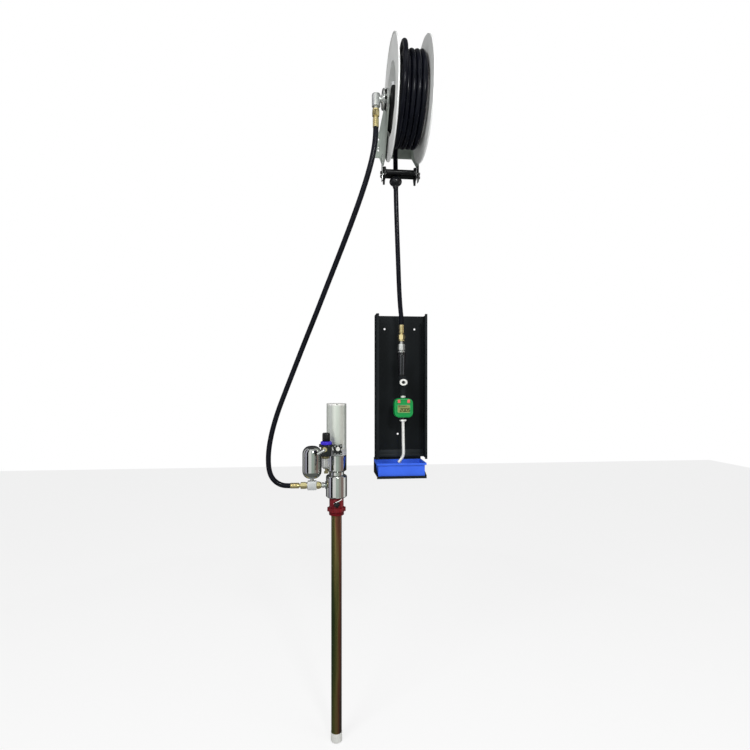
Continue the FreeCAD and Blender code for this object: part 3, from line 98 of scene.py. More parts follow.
def make_light():
    """A plain white surround, which cameras and mirrors see as white, and three soft lamps."""
    world = bpy.context.scene.world or bpy.data.worlds.new("surround")
    bpy.context.scene.world = world
    world.use_nodes = True
    tree = world.node_tree
    tree.nodes.clear()
    path = tree.nodes.new("ShaderNodeLightPath")
    seen = tree.nodes.new("ShaderNodeMath")
    seen.operation = "MAXIMUM"
    tree.links.new(path.outputs["Is Camera Ray"], seen.inputs[0])
    tree.links.new(path.outputs["Is Glossy Ray"], seen.inputs[1])
    either = tree.nodes.new("ShaderNodeMath")
    either.operation = "MAXIMUM"
    tree.links.new(seen.outputs[0], either.inputs[0])
    tree.links.new(path.outputs["Is Transmission Ray"], either.inputs[1])
    strength = tree.nodes.new("ShaderNodeMapRange")
    strength.inputs["To Min"].default_value = 0.55
    strength.inputs["To Max"].default_value = 1.0
    tree.links.new(either.outputs[0], strength.inputs["Value"])
    surround = tree.nodes.new("ShaderNodeBackground")
    surround.inputs["Color"].default_value = (1, 1, 1, 1)
    tree.links.new(strength.outputs["Result"], surround.inputs["Strength"])
    out = tree.nodes.new("ShaderNodeOutputWorld")
    tree.links.new(surround.outputs["Background"], out.inputs["Surface"])
    for name, spot, power, size in LAMPS:
        light = bpy.data.lights.new(name, "AREA")
        light.energy = power
        light.size = size
        lamp = bpy.data.objects.new(name, light)
        lamp.location = spot
        aim = Vector((-0.2, -0.1, -0.9)) - Vector(spot)
        lamp.rotation_euler = aim.to_track_quat("-Z", "Y").to_euler()
        bpy.context.collection.objects.link(lamp)
    bpy.context.scene.view_settings.view_transform = "Standard"


def make_flags():
    """Tall cards round the set, seen only by mirrors, so that bright metal has bands and edges."""
    for name, start, stop, tone in FLAGS:
        corners = [
            Vector((-0.24 + CARD_REACH * math.sin(turn), -0.1 - CARD_REACH * math.cos(turn), 0))
            for turn in (math.radians(start), math.radians(stop))]
        across = corners[1] - corners[0]
        bpy.ops.mesh.primitive_plane_add(size=1)
        flag = bpy.context.object
        flag.name = name
        flag.scale = (across.length, CARD_TOP - CARD_FOOT, 1)
        flag.location = (*((corners[0] + corners[1]) / 2).xy, (CARD_FOOT + CARD_TOP) / 2)
        flag.rotation_euler = (math.radians(90), 0, math.atan2(across.y, across.x))
        stage_card(flag, tone)
    bpy.ops.mesh.primitive_plane_add(size=4.6, location=(-0.2, 1.2, 2.4))
    bpy.context.object.name = "flag overhead"
    stage_card(bpy.context.object, (0.10, 0.10, 0.10))


def stage_card(card, tone):
    bpy.ops.object.transform_apply()
    paint = Paint(card.name)
    paint.feed("Base Color", (0, 0, 0, 1))
    paint.feed("Roughness", 1.0)
    paint.feed("Specular IOR Level", 0.0)
    paint.feed("Emission Color", (*tone, 1))
    paint.feed("Emission Strength", 1.0)
    card.data.materials.append(paint.material)
    card.visible_camera = False
    card.visible_diffuse = False
    card.visible_shadow = False
    card.visible_transmission = False
    card.select_set(False)


CARD_REACH, CARD_FOOT, CARD_TOP = 2.7, -3.2, 2.2
# name, from and to round the set in degrees (0 is towards the camera), tone
FLAGS = [
    ("flag dark left", -66, -44, (0.004, 0.005, 0.005)),
    ("flag white left", -44, -8, (0.95, 0.95, 0.93)),
    ("flag pale left", -86, -66, (0.56, 0.54, 0.64)),
    ("flag plum left", -102, -86, (0.07, 0.05, 0.08)),
    ("flag white side", -116, -102, (0.95, 0.95, 0.95)),
    ("flag grey left", -150, -116, (0.12, 0.12, 0.13)),
    ("flag green front", -8, 22, (0.50, 0.58, 0.52)),
    ("flag olive right", 22, 47, (0.40, 0.40, 0.36)),
    ("flag brown right", 47, 82, (0.30, 0.22, 0.20)),
    ("flag white right", 82, 112, (0.95, 0.95, 0.93)),
    ("flag grey right", 112, 150, (0.10, 0.10, 0.10)),
    ("flag behind left", 172, 210, (0.03, 0.03, 0.035)),
    ("flag behind right", 150, 172, (0.08, 0.08, 0.08)),
]
LAMPS = [
    ("key lamp", (-2.3, -2.9, 1.0), 70, 1.6),
    ("fill lamp", (2.6, -2.6, -0.4), 28, 2.0),
    ("reel lamp", (0.3, -2.3, 0.2), 22, 0.35),
]
WHITE = (1, 1, 1, 1)
MIRROR_FLOOR = (0.16, 0.17, 0.16, 1)


# ---------------------------------------------------------------- shader maths

class Wire:
    """A socket's output, so that shader maths reads as ordinary sums."""

    def __init__(self, paint, socket):
        self.paint = paint
        self.socket = socket

    def sum_with(self, operation, first, second):
        return self.paint.node("ShaderNodeMath", "Value", {"operation": operation}, {0: first, 1: second})

    def __add__(self, other):
        return self.sum_with("ADD", self, other)

    def __radd__(self, other):
        return self.sum_with("ADD", other, self)

    def __sub__(self, other):
        return self.sum_with("SUBTRACT", self, other)

    def __mul__(self, other):
        return self.sum_with("MULTIPLY", self, other)


class Paint:
    """One material, and the nodes that it is made of."""

    def __init__(self, name):
        self.material = bpy.data.materials.new(name)
        self.material.use_nodes = True
        self.tree = self.material.node_tree
        self.shader = self.tree.nodes["Principled BSDF"]
        self.place = self.node("ShaderNodeTexCoord", "Object")

    def node(self, kind, output, settings=None, inputs=None):
        made = self.tree.nodes.new(kind)
        for name, value in (settings or {}).items():
            if name == "stops":
                self.set_stops(made.color_ramp, value)
            else:
                setattr(made, name, value)
        for name, value in (inputs or {}).items():
            self.join(made.inputs[name], value)
        return Wire(self, made.outputs[output])

    def set_stops(self, ramp, stops):
        while len(ramp.elements) < len(stops):
            ramp.elements.new(0.5)
        for element, (spot, colour) in zip(ramp.elements, stops):
            element.position = spot
            element.color = (*colour, 1)

    def join(self, socket, value):
        if isinstance(value, Wire):
            self.tree.links.new(value.socket, socket)
        elif isinstance(value, bpy.types.NodeSocket):
            self.tree.links.new(value, socket)
        else:
            socket.default_value = value

    def feed(self, name, value):
        if isinstance(value, tuple) and len(value) == 3:
            value = (*value, 1)
        self.join(self.shader.inputs[name], value)

    def noise(self, scale, detail, stretch=None):
        """Cloudy noise, about `scale` blotches a metre, drawn out where stretch is under 1."""
        place = self.place
        if stretch is not None:
            place = self.node("ShaderNodeMapping", "Vector", {}, {"Vector": place, "Scale": stretch})
        inputs = {"Vector": place, "Scale": scale, "Detail": detail}
        return self.node("ShaderNodeTexNoise", "Fac", {}, inputs)

    def mix(self, mask, first, second):
        first, second = (value if isinstance(value, Wire) else (*value[:3], 1) for value in (first, second))
        inputs = {"Factor": mask, 6: first, 7: second}
        return self.node("ShaderNodeMix", 2, {"data_type": "RGBA"}, inputs)

    def bump(self, height, depth):
        inputs = {"Height": height, "Distance": depth, "Strength": 0.4}
        self.join(self.shader.inputs["Normal"], self.node("ShaderNodeBump", "Normal", {}, inputs))

    def axis(self, letter):
        return self.node("ShaderNodeSeparateXYZ", letter, {}, {"Vector": self.place})


# ---------------------------------------------------------------- hoses

def clamp(value):
    return max(0.0, min(1.0, value))


def loose_turn():
    """The reel hose's last turn, which lifts off the coil and comes forward to drop."""
    seat = 0.1580
    top_of_coil = 0.1772
    points = []
    for step in range(17):
        turn = 396 - 24 * step
        climb = clamp((262 - turn) / 96)
        climb = climb * climb * (3 - 2 * climb)
        shift = clamp((190 - turn) / 105)
        lane = -0.037 - 0.014 * max(0, turn - 180) / 360
        fall = clamp((60 - turn) / 48)
        radius = seat + (0.185 - seat) * climb
        radius = radius + (top_of_coil - radius) * fall
        angle = math.radians(turn)
        along = lane + (-0.017 - lane) * shift
        points.append((along, AXLE_Y + radius * math.cos(angle), AXLE_Z + radius * math.sin(angle)))
    return points


DROP_ROUTE = loose_turn() + [
    (-0.0174, -0.1175, -0.060),
    (-0.017, -0.120, -0.142),
    (-0.015, -0.119, -0.262),
    (-0.0095, -0.112, -0.400),
    (-0.0035, -0.102, -0.520),
    (0.002, -0.091, -0.625),
    (0.0085, -0.080, -0.695),
    (0.0135, -0.075, -0.730),
    (0.0135, -0.075, -0.758),
]
INLET_ROUTE = [
    (-0.113, -0.290, -0.0705),
    (-0.113, -0.290, -0.104),
    (-0.122, -0.286, -0.165),
    (-0.138, -0.276, -0.228),
    (-0.161, -0.260, -0.300),
    (-0.194, -0.235, -0.390),
    (-0.236, -0.201, -0.496),
    (-0.282, -0.164, -0.608),
    (-0.328, -0.132, -0.722),
    (-0.373, -0.105, -0.831),
    (-0.4145, -0.088, -0.936),
    (-0.451, -0.081, -1.030),
    (-0.480, -0.080, -1.107),
    (-0.499, -0.080, -1.171),
    (-0.510, -0.080, -1.222),
    (-0.516, -0.080, -1.265),
    (-0.5171, -0.080, -1.3022),
    (-0.5141, -0.080, -1.3371),
    (-0.5056, -0.080, -1.3627),
    (-0.4914, -0.080, -1.3812),
    (-0.473, -0.080, -1.3937),
    (-0.452, -0.080, -1.400),
    (-0.4305, -0.080, -1.400),
]


def smooth_line(name, points, radius, bevel, steps):
    """A round open line that has the points as its control points."""
    line = bpy.data.curves.new(name, "CURVE")
    line.dimensions = "3D"
    line.resolution_u = steps
    line.bevel_depth = radius
    line.bevel_resolution = bevel
    line.use_fill_caps = True
    spline = line.splines.new("NURBS")
    spline.points.add(len(points) - 1)
    for point, spot in zip(spline.points, points):
        point.co = (*spot, 1)
    spline.order_u = 3
    spline.use_endpoint_u = True
    piece = bpy.data.objects.new(name, line)
    bpy.context.collection.objects.link(piece)
    return piece


def hose(name, route, radius, node):
    piece = smooth_line(name, route, radius, bevel=7, steps=12)
    piece.data.materials.append(FINISH["hose rubber"])
    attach(piece, "frame")
    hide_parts(node)
    return piece


def make_hoses():
    drop = hose("drop_line", DROP_ROUTE, HOSE_RADIUS, "drop_hose")
    inlet = hose("inlet_line", INLET_ROUTE, 0.0100, "inlet_hose")


# ---------------------------------------------------------------- modelling

def put_back():
    bpy.ops.object.mode_set(mode="OBJECT")


def put_down():
    """Nothing is in hand, so that the next tool works on new work only."""
    if bpy.context.object and bpy.context.object.mode != "OBJECT":
        put_back()
    for shown in bpy.context.selected_objects:
        shown.select_set(False)


def pick_up(piece):
    put_down()
    piece.select_set(True)
    bpy.context.view_layer.objects.active = piece


def apply_modifier(piece, kind, **settings):
    pick_up(piece)
    modifier = piece.modifiers.new(kind, kind)
    for name, value in settings.items():
        setattr(modifier, name, value)
    bpy.ops.object.modifier_apply(modifier=modifier.name)


def ease_edges(piece, width, segments, angle=50):
    apply_modifier(piece, "BEVEL", width=width, segments=segments, limit_method="ANGLE",
                   angle_limit=math.radians(angle))


def lay(piece, at, turn=(0, 0, 0)):
    """Turn the piece about the origin, carry it to its place, and fix it there."""
    pick_up(piece)
    piece.rotation_euler = tuple(math.radians(part) for part in turn)
    piece.location = at
    bpy.ops.object.transform_apply(location=True, rotation=True, scale=True)


def complete(piece, name, material, body, smooth=34):
    pick_up(piece)
    piece.name = name
    piece.data.name = name
    bpy.ops.object.mode_set(mode="EDIT")
    bpy.ops.mesh.select_all(action="SELECT")
    bpy.ops.mesh.remove_doubles(threshold=0.000002)
    bpy.ops.mesh.normals_make_consistent(inside=False)
    put_back()
    bpy.ops.object.shade_smooth_by_angle(angle=math.radians(smooth))
    piece.data.materials.clear()
    piece.data.materials.append(FINISH[material])
    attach(piece, body)
    put_down()
    return piece


def lathe(profile, sides=48):
    """A ring at the first radius, drawn up and in or out to each next one, then closed."""
    put_down()
    radius, height = profile[0]
    bpy.ops.mesh.primitive_circle_add(
        vertices=sides, radius=radius, fill_type="NGON", location=(0, 0, height))
    bpy.ops.object.transform_apply(location=True, rotation=False, scale=False)
    piece = bpy.context.object
    bpy.ops.object.mode_set(mode="EDIT")
    bpy.ops.mesh.select_all(action="SELECT")
    for (radius, height), (wider, higher) in zip(profile, profile[1:]):
        bpy.ops.mesh.extrude_region_move(TRANSFORM_OT_translate={"value": (0, 0, higher - height)})
        ratio = max(wider, 0.00001) / max(radius, 0.00001)
        bpy.ops.transform.resize(value=(ratio, ratio, 1), center_override=(0, 0, higher))
    put_back()
    return piece


def hex_nut(flats, length, chamfer=0.0012):
    """A hexagon along Z, with its corners taken off at both ends as a nut's are."""
    corner = flats / math.sqrt(3)
    nut = lathe([(corner, 0), (corner, length)], sides=6)
    cone = lathe([
        (flats / 2 * 0.96, 0), (corner + 0.0001, chamfer), (corner + 0.0001, length - chamfer),
        (flats / 2 * 0.96, length)])
    trim(nut, cone, "INTERSECT")
    return nut


def trim(piece, tool, operation="DIFFERENCE"):
    apply_modifier(piece, "BOOLEAN", object=tool, operation=operation, solver="EXACT")
    bpy.data.objects.remove(tool, do_unlink=True)


def slab(width, depth, height, edge=0.0005, segments=2):
    """A block on the origin's plane, with its edges eased."""
    put_down()
    bpy.ops.mesh.primitive_cube_add(size=1, location=(0, 0, height / 2))
    piece = bpy.context.object
    piece.scale = (width, depth, height)
    bpy.ops.object.transform_apply(location=True, rotation=True, scale=True)
    if edge:
        apply_modifier(piece, "BEVEL", width=edge, segments=segments, limit_method="ANGLE")
    return piece


def copy_to(piece, move, turn=0.0, axis="Z", about=(0, 0, 0)):
    """Another of the same, with its own mesh, turned about a point and moved."""
    twin = piece.copy()
    twin.data = piece.data.copy()
    bpy.context.collection.objects.link(twin)
    pivot = Matrix.Translation(Vector(about))
    spin = pivot @ Matrix.Rotation(math.radians(turn), 4, axis) @ pivot.inverted()
    twin.data.transform(Matrix.Translation(Vector(move)) @ spin)
    return twin


def choose(piece, kind, wanted):
    """Opens a piece for editing with the faces or edges that are wanted in hand."""
    pick_up(piece)
    bpy.context.tool_settings.mesh_select_mode = (False, kind == "edges", kind == "faces")
    bpy.ops.object.mode_set(mode="EDIT")
    bpy.ops.mesh.select_all(action="DESELECT")
    put_back()
    spots = piece.data.vertices
    for part in getattr(piece.data, "polygons" if kind == "faces" else "edges"):
        if kind == "faces":
            part.select = bool(wanted(part.center, part.normal))
        else:
            start, end = (spots[corner].co for corner in part.vertices)
            part.select = bool(wanted((start + end) / 2, (end - start).normalized()))
    bpy.ops.object.mode_set(mode="EDIT")


def plain_block(width, depth, height):
    """A sharp block on the origin's plane, to be shaped further."""
    return slab(width, depth, height, edge=0)


def round_corners(piece, axis, radius, segments):
    """Rounds the four edges that run along an axis."""
    choose(piece, "edges", lambda spot, along: abs(along.dot(axis)) > 0.98)
    bpy.ops.mesh.bevel(offset=radius, segments=segments, affect="EDGES")
    put_back()


def cushion(width, depth, height, radius, segments=4):
    """A block centred on the origin, with the four edges along Y rounded."""
    piece = plain_block(width, depth, height)
    lay(piece, (0, 0, -height / 2))
    round_corners(piece, Y, radius, segments)
    return piece


def join(pieces):
    pick_up(pieces[0])
    for piece in pieces[1:]:
        piece.select_set(True)
    bpy.ops.object.join()
    return bpy.context.object


def pipe(points, radius, sides=12):
    """A bent pipe on a smooth line through a few points, as a mesh with closed ends."""
    pick_up(smooth_line("pipe", points, radius, bevel=sides // 4, steps=10))
    bpy.ops.object.convert(target="MESH")
    return bpy.context.object


# ---------------------------------------------------------------- finishes

def srgb(red, green, blue):
    """A colour as it is seen, from 0 to 255, as the shader wants it."""
    return tuple(((part / 255 + 0.055) / 1.055) ** 2.4 if part > 10 else part / 255 / 12.92
                 for part in (red, green, blue))


FINISH = {}


# name, light and dark tone, roughness, metallic, blotches and flecks a metre, their depth, gloss, stretch
FINISHES = [
    ("hose rubber", (14, 16, 25), (7, 8, 14), 0.24, 0.0, 22, 700, 0.00004, 0.14),
    ("soft rubber", (20, 21, 25), (11, 12, 15), 0.28, 0.0, 40, 700, 0.00008, 0.4),
    ("flange paint", (220, 221, 220), (205, 207, 205), 0.38, 0.0, 9, 520, 0.00006, 0.3),
    ("zinc plate", (178, 187, 179), (152, 161, 153), 0.46, 0.2, 40, 260, 0.0001, 0.5),
    ("bright steel", (214, 216, 214), (184, 186, 184), 0.26, 0.80, 30, 500, 0.0001, 0.5),
    ("dark steel", (52, 52, 50), (26, 26, 26), 0.38, 0.75, 50, 420, 0.0001, 0.5),
    ("black moulding", (22, 23, 25), (12, 12, 13), 0.38, 0.0, 24, 900, 0.0001, 0.22),
    ("brass", (248, 234, 184), (222, 202, 142), 0.15, 0.92, 36, 460, 0.0001, 0.5),
    ("olive metal", (150, 142, 108), (104, 96, 66), 0.28, 0.85, 36, 460, 0.0001, 0.5),
    ("chrome", (206, 208, 205), (184, 187, 184), 0.09, 1.0, 12, 300, 0.00002, 0.5),
    ("anodised barrel", (214, 219, 211), (200, 206, 197), 0.38, 0.55, 10, 340, 0.0001, 0.5, (1, 1, 0.06)),
    ("cast alloy", (206, 208, 208), (182, 185, 186), 0.40, 0.40, 26, 620, 0.0002, 0.5),
    ("console coat", (26, 30, 32), (17, 20, 22), 0.58, 0.0, 8, 640, 0.0002, 0.09),
    # a lighter tone of the console's own paint: a painted highlight along the folded hem
    ("console hem highlight", (44, 50, 52), (32, 37, 39), 0.5, 0.0, 8, 640, 0.0002, 0.2),
    ("tray blue", (56, 104, 226), (44, 88, 208), 0.42, 0.0, 10, 600, 0.0001, 0.3),
    ("meter green", (14, 146, 70), (8, 126, 58), 0.38, 0.0, 18, 800, 0.0001, 0.3),
    ("button red", (218, 100, 92), (198, 80, 74), 0.45, 0.0, 60, 900, 0.0001, 0.3),
    ("ring blue", (56, 36, 196), (38, 22, 156), 0.36, 0.0, 40, 800, 0.0001, 0.3),
    ("adapter red", (132, 12, 26), (92, 5, 14), 0.34, 0.25, 26, 620, 0.0001, 0.4),
    ("glossy black", (24, 25, 27), (13, 14, 15), 0.24, 0.0, 30, 900, 0.00005, 0.4),
    # a lighter grey than the black grip: a painted highlight along the two ribs
    ("grip rib highlight", (74, 77, 80), (58, 60, 63), 0.3, 0.0, 60, 900, 0.00005, 0.4),
    ("white metal", (240, 240, 236), (222, 222, 218), 0.30, 0.30, 60, 600, 0.00005, 0.5),
    # a lighter copy of the case green: a painted highlight on the raised window bezel and key rims
    ("meter rim highlight", (44, 168, 98), (34, 150, 84), 0.34, 0.0, 30, 800, 0.00005, 0.4),
    ("display", (136, 146, 88), (122, 132, 78), 0.22, 0.0, 40, 900, 0.00002, 0.3),
    ("display ink", (40, 46, 24), (32, 38, 20), 0.5, 0.0, 60, 900, 0.00001, 0.1),
    ("spring steel", (70, 68, 66), (44, 42, 40), 0.36, 0.85, 40, 400, 0.0001, 0.5),
]


def finish(name, light, dark, roughness, metallic, blotch, fleck, depth, gloss, stretch=None):
    """A finish that drifts between two tones, with finer flecks in its sheen and surface."""
    paint = Paint(name)
    cloud = paint.noise(blotch, 4, stretch)
    grain = paint.noise(fleck, 2, stretch)
    mask = paint.node("ShaderNodeMapRange", "Result", {}, {
        "Value": cloud * 0.7 + grain * 0.3, "From Min": 0.3, "From Max": 0.7})
    paint.feed("Base Color", paint.mix(mask, srgb(*dark), srgb(*light)))
    paint.feed("Roughness", roughness + (grain - 0.5) * 0.12 + (cloud - 0.5) * 0.10)
    paint.feed("Metallic", metallic)
    paint.feed("Specular IOR Level", gloss)
    paint.bump(grain, depth)
    FINISH[name] = paint.material


def make_finishes():
    for row in FINISHES:
        finish(*row)
    finish_rainbow_zinc()


def finish_rainbow_zinc():
    """Yellow passivated zinc: olive, green and rose drift into each other along the tube; a ramp across the
    tube's width adds painted shade at the edges and a painted highlight down the middle.
    """
    paint = Paint("rainbow zinc")
    drift = paint.noise(9, 3, (1, 1, 0.16))
    streak = paint.noise(70, 2, (1, 1, 0.03))
    # across the tube: dark olive at the left edge, tan down the middle, rose-brown towards the right: painted
    # edge shade and a painted highlight over the zinc's own tint
    across = (paint.axis("X") + 0.249) * 9.0
    tint_with_painted_light = paint.node("ShaderNodeValToRGB", "Color", {"stops": [
        (0.30, srgb(60, 76, 44)), (0.42, srgb(104, 104, 56)), (0.50, srgb(132, 118, 72)),
        (0.58, srgb(126, 78, 58)), (0.70, srgb(84, 66, 60))]}, {"Fac": drift * 0.55 + streak * 0.45 + across})
    paint.feed("Base Color", tint_with_painted_light)
    paint.feed("Roughness", 0.22 + streak * 0.12)
    paint.feed("Metallic", 0.85)
    paint.bump(paint.noise(420, 2), 0.00003)
    FINISH["rainbow zinc"] = paint.material


NODE_FINISH = {
    "spout_tube": "white metal", "air_cylinder_cap": "white metal", "drain_cock": "olive metal",
}
SLOT_FINISH = {
    "grey_paint": "flange paint",
    "zinc_steel": "zinc plate",
    "bright_steel": "bright steel",
    "dark_steel": "dark steel",
    "hose_rubber": "hose rubber",
    "black_plastic": "black moulding",
    "brass": "brass",
    "chrome": "chrome",
    "cylinder_alloy": "anodised barrel",
    "alloy": "cast alloy",
    "console_paint": "console coat",
    "tray_blue": "tray blue",
    "meter_green": "meter green",
    "button_red": "button red",
    "ring_blue": "ring blue",
    "adapter_red": "adapter red",
    "tube_steel": "rainbow zinc",
    "spring_steel": "spring steel",
}


def dress_nodes():
    for part in frame["record"]["subparts"]:
        material = FINISH[NODE_FINISH.get(part["node"], SLOT_FINISH[part["material_slot"]])]
        piece = nodes[part["node"]]
        if not piece.material_slots:
            piece.data.materials.append(material)
        for slot in piece.material_slots:
            slot.material = material


# ---------------------------------------------------------------- reel

def coil_layer(start_x, radius, turns, step, first_turn, wander):
    """A layer of turns wound round the axle: X drifts by `step` in each turn."""
    put_down()
    bpy.ops.mesh.primitive_circle_add(vertices=20, radius=HOSE_RADIUS)
    ring = bpy.context.object
    ring.rotation_euler = (math.radians(90), 0, 0)
    ring.location = (0, 0, radius)
    bpy.ops.object.transform_apply(location=True, rotation=True, scale=True)
    apply_modifier(ring, "SCREW", axis="X", angle=math.radians(360 * turns), screw_offset=step * turns,
                   steps=int(96 * turns), render_steps=int(96 * turns), use_normal_calculate=True,
                   use_merge_vertices=False)
    pick_up(ring)
    bpy.ops.object.mode_set(mode="EDIT")
    bpy.ops.mesh.select_all(action="DESELECT")
    bpy.ops.mesh.select_non_manifold()
    bpy.ops.mesh.edge_face_add()
    put_back()
    lay(ring, (0, 0, 0), (first_turn - 90, 0, 0))
    for point in ring.data.vertices:
        spot = point.co
        turn = math.atan2(spot.z, spot.y)
        lane = round((spot.x - step * turn / math.tau) / 0.0192)
        sway = math.sin(turn * 2 + lane * 1.9) + 0.6 * math.sin(turn * 3 + lane * 4.1)
        swell = 1 + wander * 0.5 * math.sin(turn * 3 + lane * 2.6) / radius
        point.co = (spot.x + wander * sway, spot.y * swell, spot.z * swell)
    lay(ring, (start_x, AXLE_Y, AXLE_Z))
    return ring


def make_coil():
    outer = coil_layer(0.0450, 0.1535, 3.86, -0.0192, 60, 0.0006)
    complete(outer, "coil_outer", "hose rubber", "drum", smooth=60)
    inner = coil_layer(-0.0463, 0.1349, 4.95, 0.0186, 20, 0.0)
    complete(inner, "coil_inner", "hose rubber", "drum", smooth=60)
    for piece in (outer, inner):
        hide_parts("wound_hose")


def make_gooseneck():
    """A bent black pipe seen through the left opening, laid along the dark gap between the left arm and the
    flange so that the gap reads black.
    """
    up = [
        (-0.048, -0.298, 0.078), (-0.051, -0.304, 0.066), (-0.0545, -0.315, 0.050),
        (-0.0555, -0.320, 0.032), (-0.0555, -0.311, 0.012), (-0.0555, -0.288, 0),
        (-0.0555, -0.262, -0.007), (-0.0550, -0.228, -0.020), (-0.0535, -0.206, -0.029),
        (-0.047, -0.196, -0.033), (-0.038, -0.193, -0.034),
    ]
    # the black pipe is sized and routed to fill the dark gap between the arm and the flange
    neck = pipe(up, 0.0092, sides=20)
    complete(neck, "gooseneck", "black moulding", "drum", smooth=60)
    ferrule = lathe([(0.0085, 0), (0.0106, 0.001), (0.0106, 0.007), (0.0098, 0.008), (0.0098, 0.011),
                     (0.0106, 0.012), (0.0106, 0.018), (0.0085, 0.019)], sides=32)
    lay(ferrule, (-0.0480, -0.298, 0.072))
    complete(ferrule, "gooseneck_ferrule", "cast alloy", "drum")


# ---------------------------------------------------------------- hose ends

def make_hose_ends():
    """A crimped ferrule and a swivel nut on each end that the hoses show."""
    ends = [
        ("reel", INLET_ROUTE[0], (0, 0, 0)), ("gun", DROP_ROUTE[-1], (180, 0, 15)),
        ("pump", INLET_ROUTE[-1], (0, 90, 0)),
    ]
    for name, at, turn in ends:
        profile = [(0.0100, 0), (0.0112, 0.0008)]
        for ring in (0.0062, 0.0128, 0.0194, 0.0260):
            profile += [(0.0112, ring - 0.0012), (0.0105, ring - 0.0004), (0.0105, ring + 0.0004),
                        (0.0112, ring + 0.0012)]
        profile += [(0.0112, 0.0315), (0.0098, 0.0338), (0.0075, 0.0342), (0.0075, 0.0395)]
        ferrule = lathe(profile)
        lay(ferrule, at, turn)
        complete(ferrule, "ferrule_" + name, "brass", "frame")
        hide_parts("hose_ferrules")
        nut = hex_nut(0.0250, 0.0215, 0.0022)
        collar = lathe([(0.0112, 0), (0.0122, 0.0006), (0.0122, 0.0058), (0.0108, 0.0062)])
        lay(collar, (0, 0, 0.0208))
        nut = join([nut, collar])
        lay(nut, (0, 0, 0.0395))
        lay(nut, at, turn)
        complete(nut, "hose_nut_" + name, "brass", "frame", smooth=24)
        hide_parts("hose_nuts")


def make_swivel():
    """The turned elbow body on the fixed axle, its union, the cast hub and the short neck below."""
    body = lathe([(0.0085, 0), (0.0085, 0.0070), (0.0138, 0.0076), (0.0154, 0.0092), (0.0154, 0.0500),
                  (0.0142, 0.0536), (0.0110, 0.0552), (0.0040, 0.0560)])
    lay(body, (-0.1120, AXLE_Y, -0.0040))
    union = lathe([(0.0118, 0), (0.0118, 0.0080), (0.0150, 0.0086), (0.0150, 0.0102), (0.0128, 0.0108),
                   (0.0128, 0.0205), (0.0150, 0.0211), (0.0150, 0.0250)])
    lay(union, (-0.1015, AXLE_Y, AXLE_Z), (0, 90, 0))
    hexagon_band = hex_nut(0.0290, 0.0090, 0.0012)
    lay(hexagon_band, (-0.0925, AXLE_Y, AXLE_Z), (0, 90, 0))
    hub = lathe([(0.0200, 0), (0.0215, 0.0030), (0.0290, 0.0034), (0.0305, 0.0010), (0.0340, 0.0010),
                 (0.0365, 0.0030), (0.0365, 0.0068), (0.0340, 0.0084), (0.0250, 0.0090),
                 (0.0240, 0.0150)], sides=56)
    lay(hub, (-0.0912, AXLE_Y, AXLE_Z), (0, 90, 0))
    whole = join([body, union, hexagon_band, hub])
    complete(whole, "swivel_elbow", "bright steel", "frame")
    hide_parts("swivel_body")


# ---------------------------------------------------------------- gun and meter

GUN_X, GRIP_X, GUN_Y = 0.0200, 0.0135, -0.075


def make_gun_swivel():
    """A neck, a hexagon and the flared collar that the grip hangs from."""
    neck = lathe([(0.0060, 0.0330), (0.0068, 0.0350), (0.0068, 0.0450), (0.0060, 0.0460)], sides=32)
    body = hex_nut(0.0250, 0.0250, 0.0016)
    lay(body, (0, 0, 0.0100), (0, 0, 15))
    collar = lathe([(0.0128, 0), (0.0144, 0.0010), (0.0144, 0.0048), (0.0122, 0.0068), (0.0104, 0.0078),
                    (0.0104, 0.0112)])
    whole = join([neck, body, collar])
    lay(whole, (GRIP_X, GUN_Y, -0.8705))
    complete(whole, "gun_swivel_nut", "bright steel", "frame")
    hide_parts("gun_swivel")


def make_grip():
    """A moulded sleeve, swelling to the top, with two ribs down its front that are painted a lighter grey as
    a highlight.
    """
    sleeve = lathe([(0.0118, 0), (0.0140, 0.0016), (0.0142, 0.0200), (0.0148, 0.0440), (0.0160, 0.0660),
                    (0.0174, 0.0810), (0.0178, 0.0868), (0.0170, 0.0900), (0.0178, 0.0914), (0.0176, 0.0940),
                    (0.0150, 0.0949)])
    lay(sleeve, (GRIP_X, GUN_Y, -0.9655))
    ribs = []
    for side in (-1, 1):
        across = GRIP_X + 0.0050 * side
        ribs.append(pipe([
            (across, GUN_Y - 0.0128, -0.9590), (across, GUN_Y - 0.0142, -0.9520),
            (across, GUN_Y - 0.0148, -0.9300), (across, GUN_Y - 0.0166, -0.8980),
            (across, GUN_Y - 0.0172, -0.8850), (across, GUN_Y - 0.0140, -0.8800)], 0.0020, sides=12))
    complete(sleeve, "gun_grip", "glossy black", "gun")
    # the ribs' lighter grey is a painted highlight on the black grip
    ribs = complete(join(ribs), "grip_ribs", "grip rib highlight", "gun", smooth=60)
    for piece in (sleeve, ribs):
        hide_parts("gun_handle")


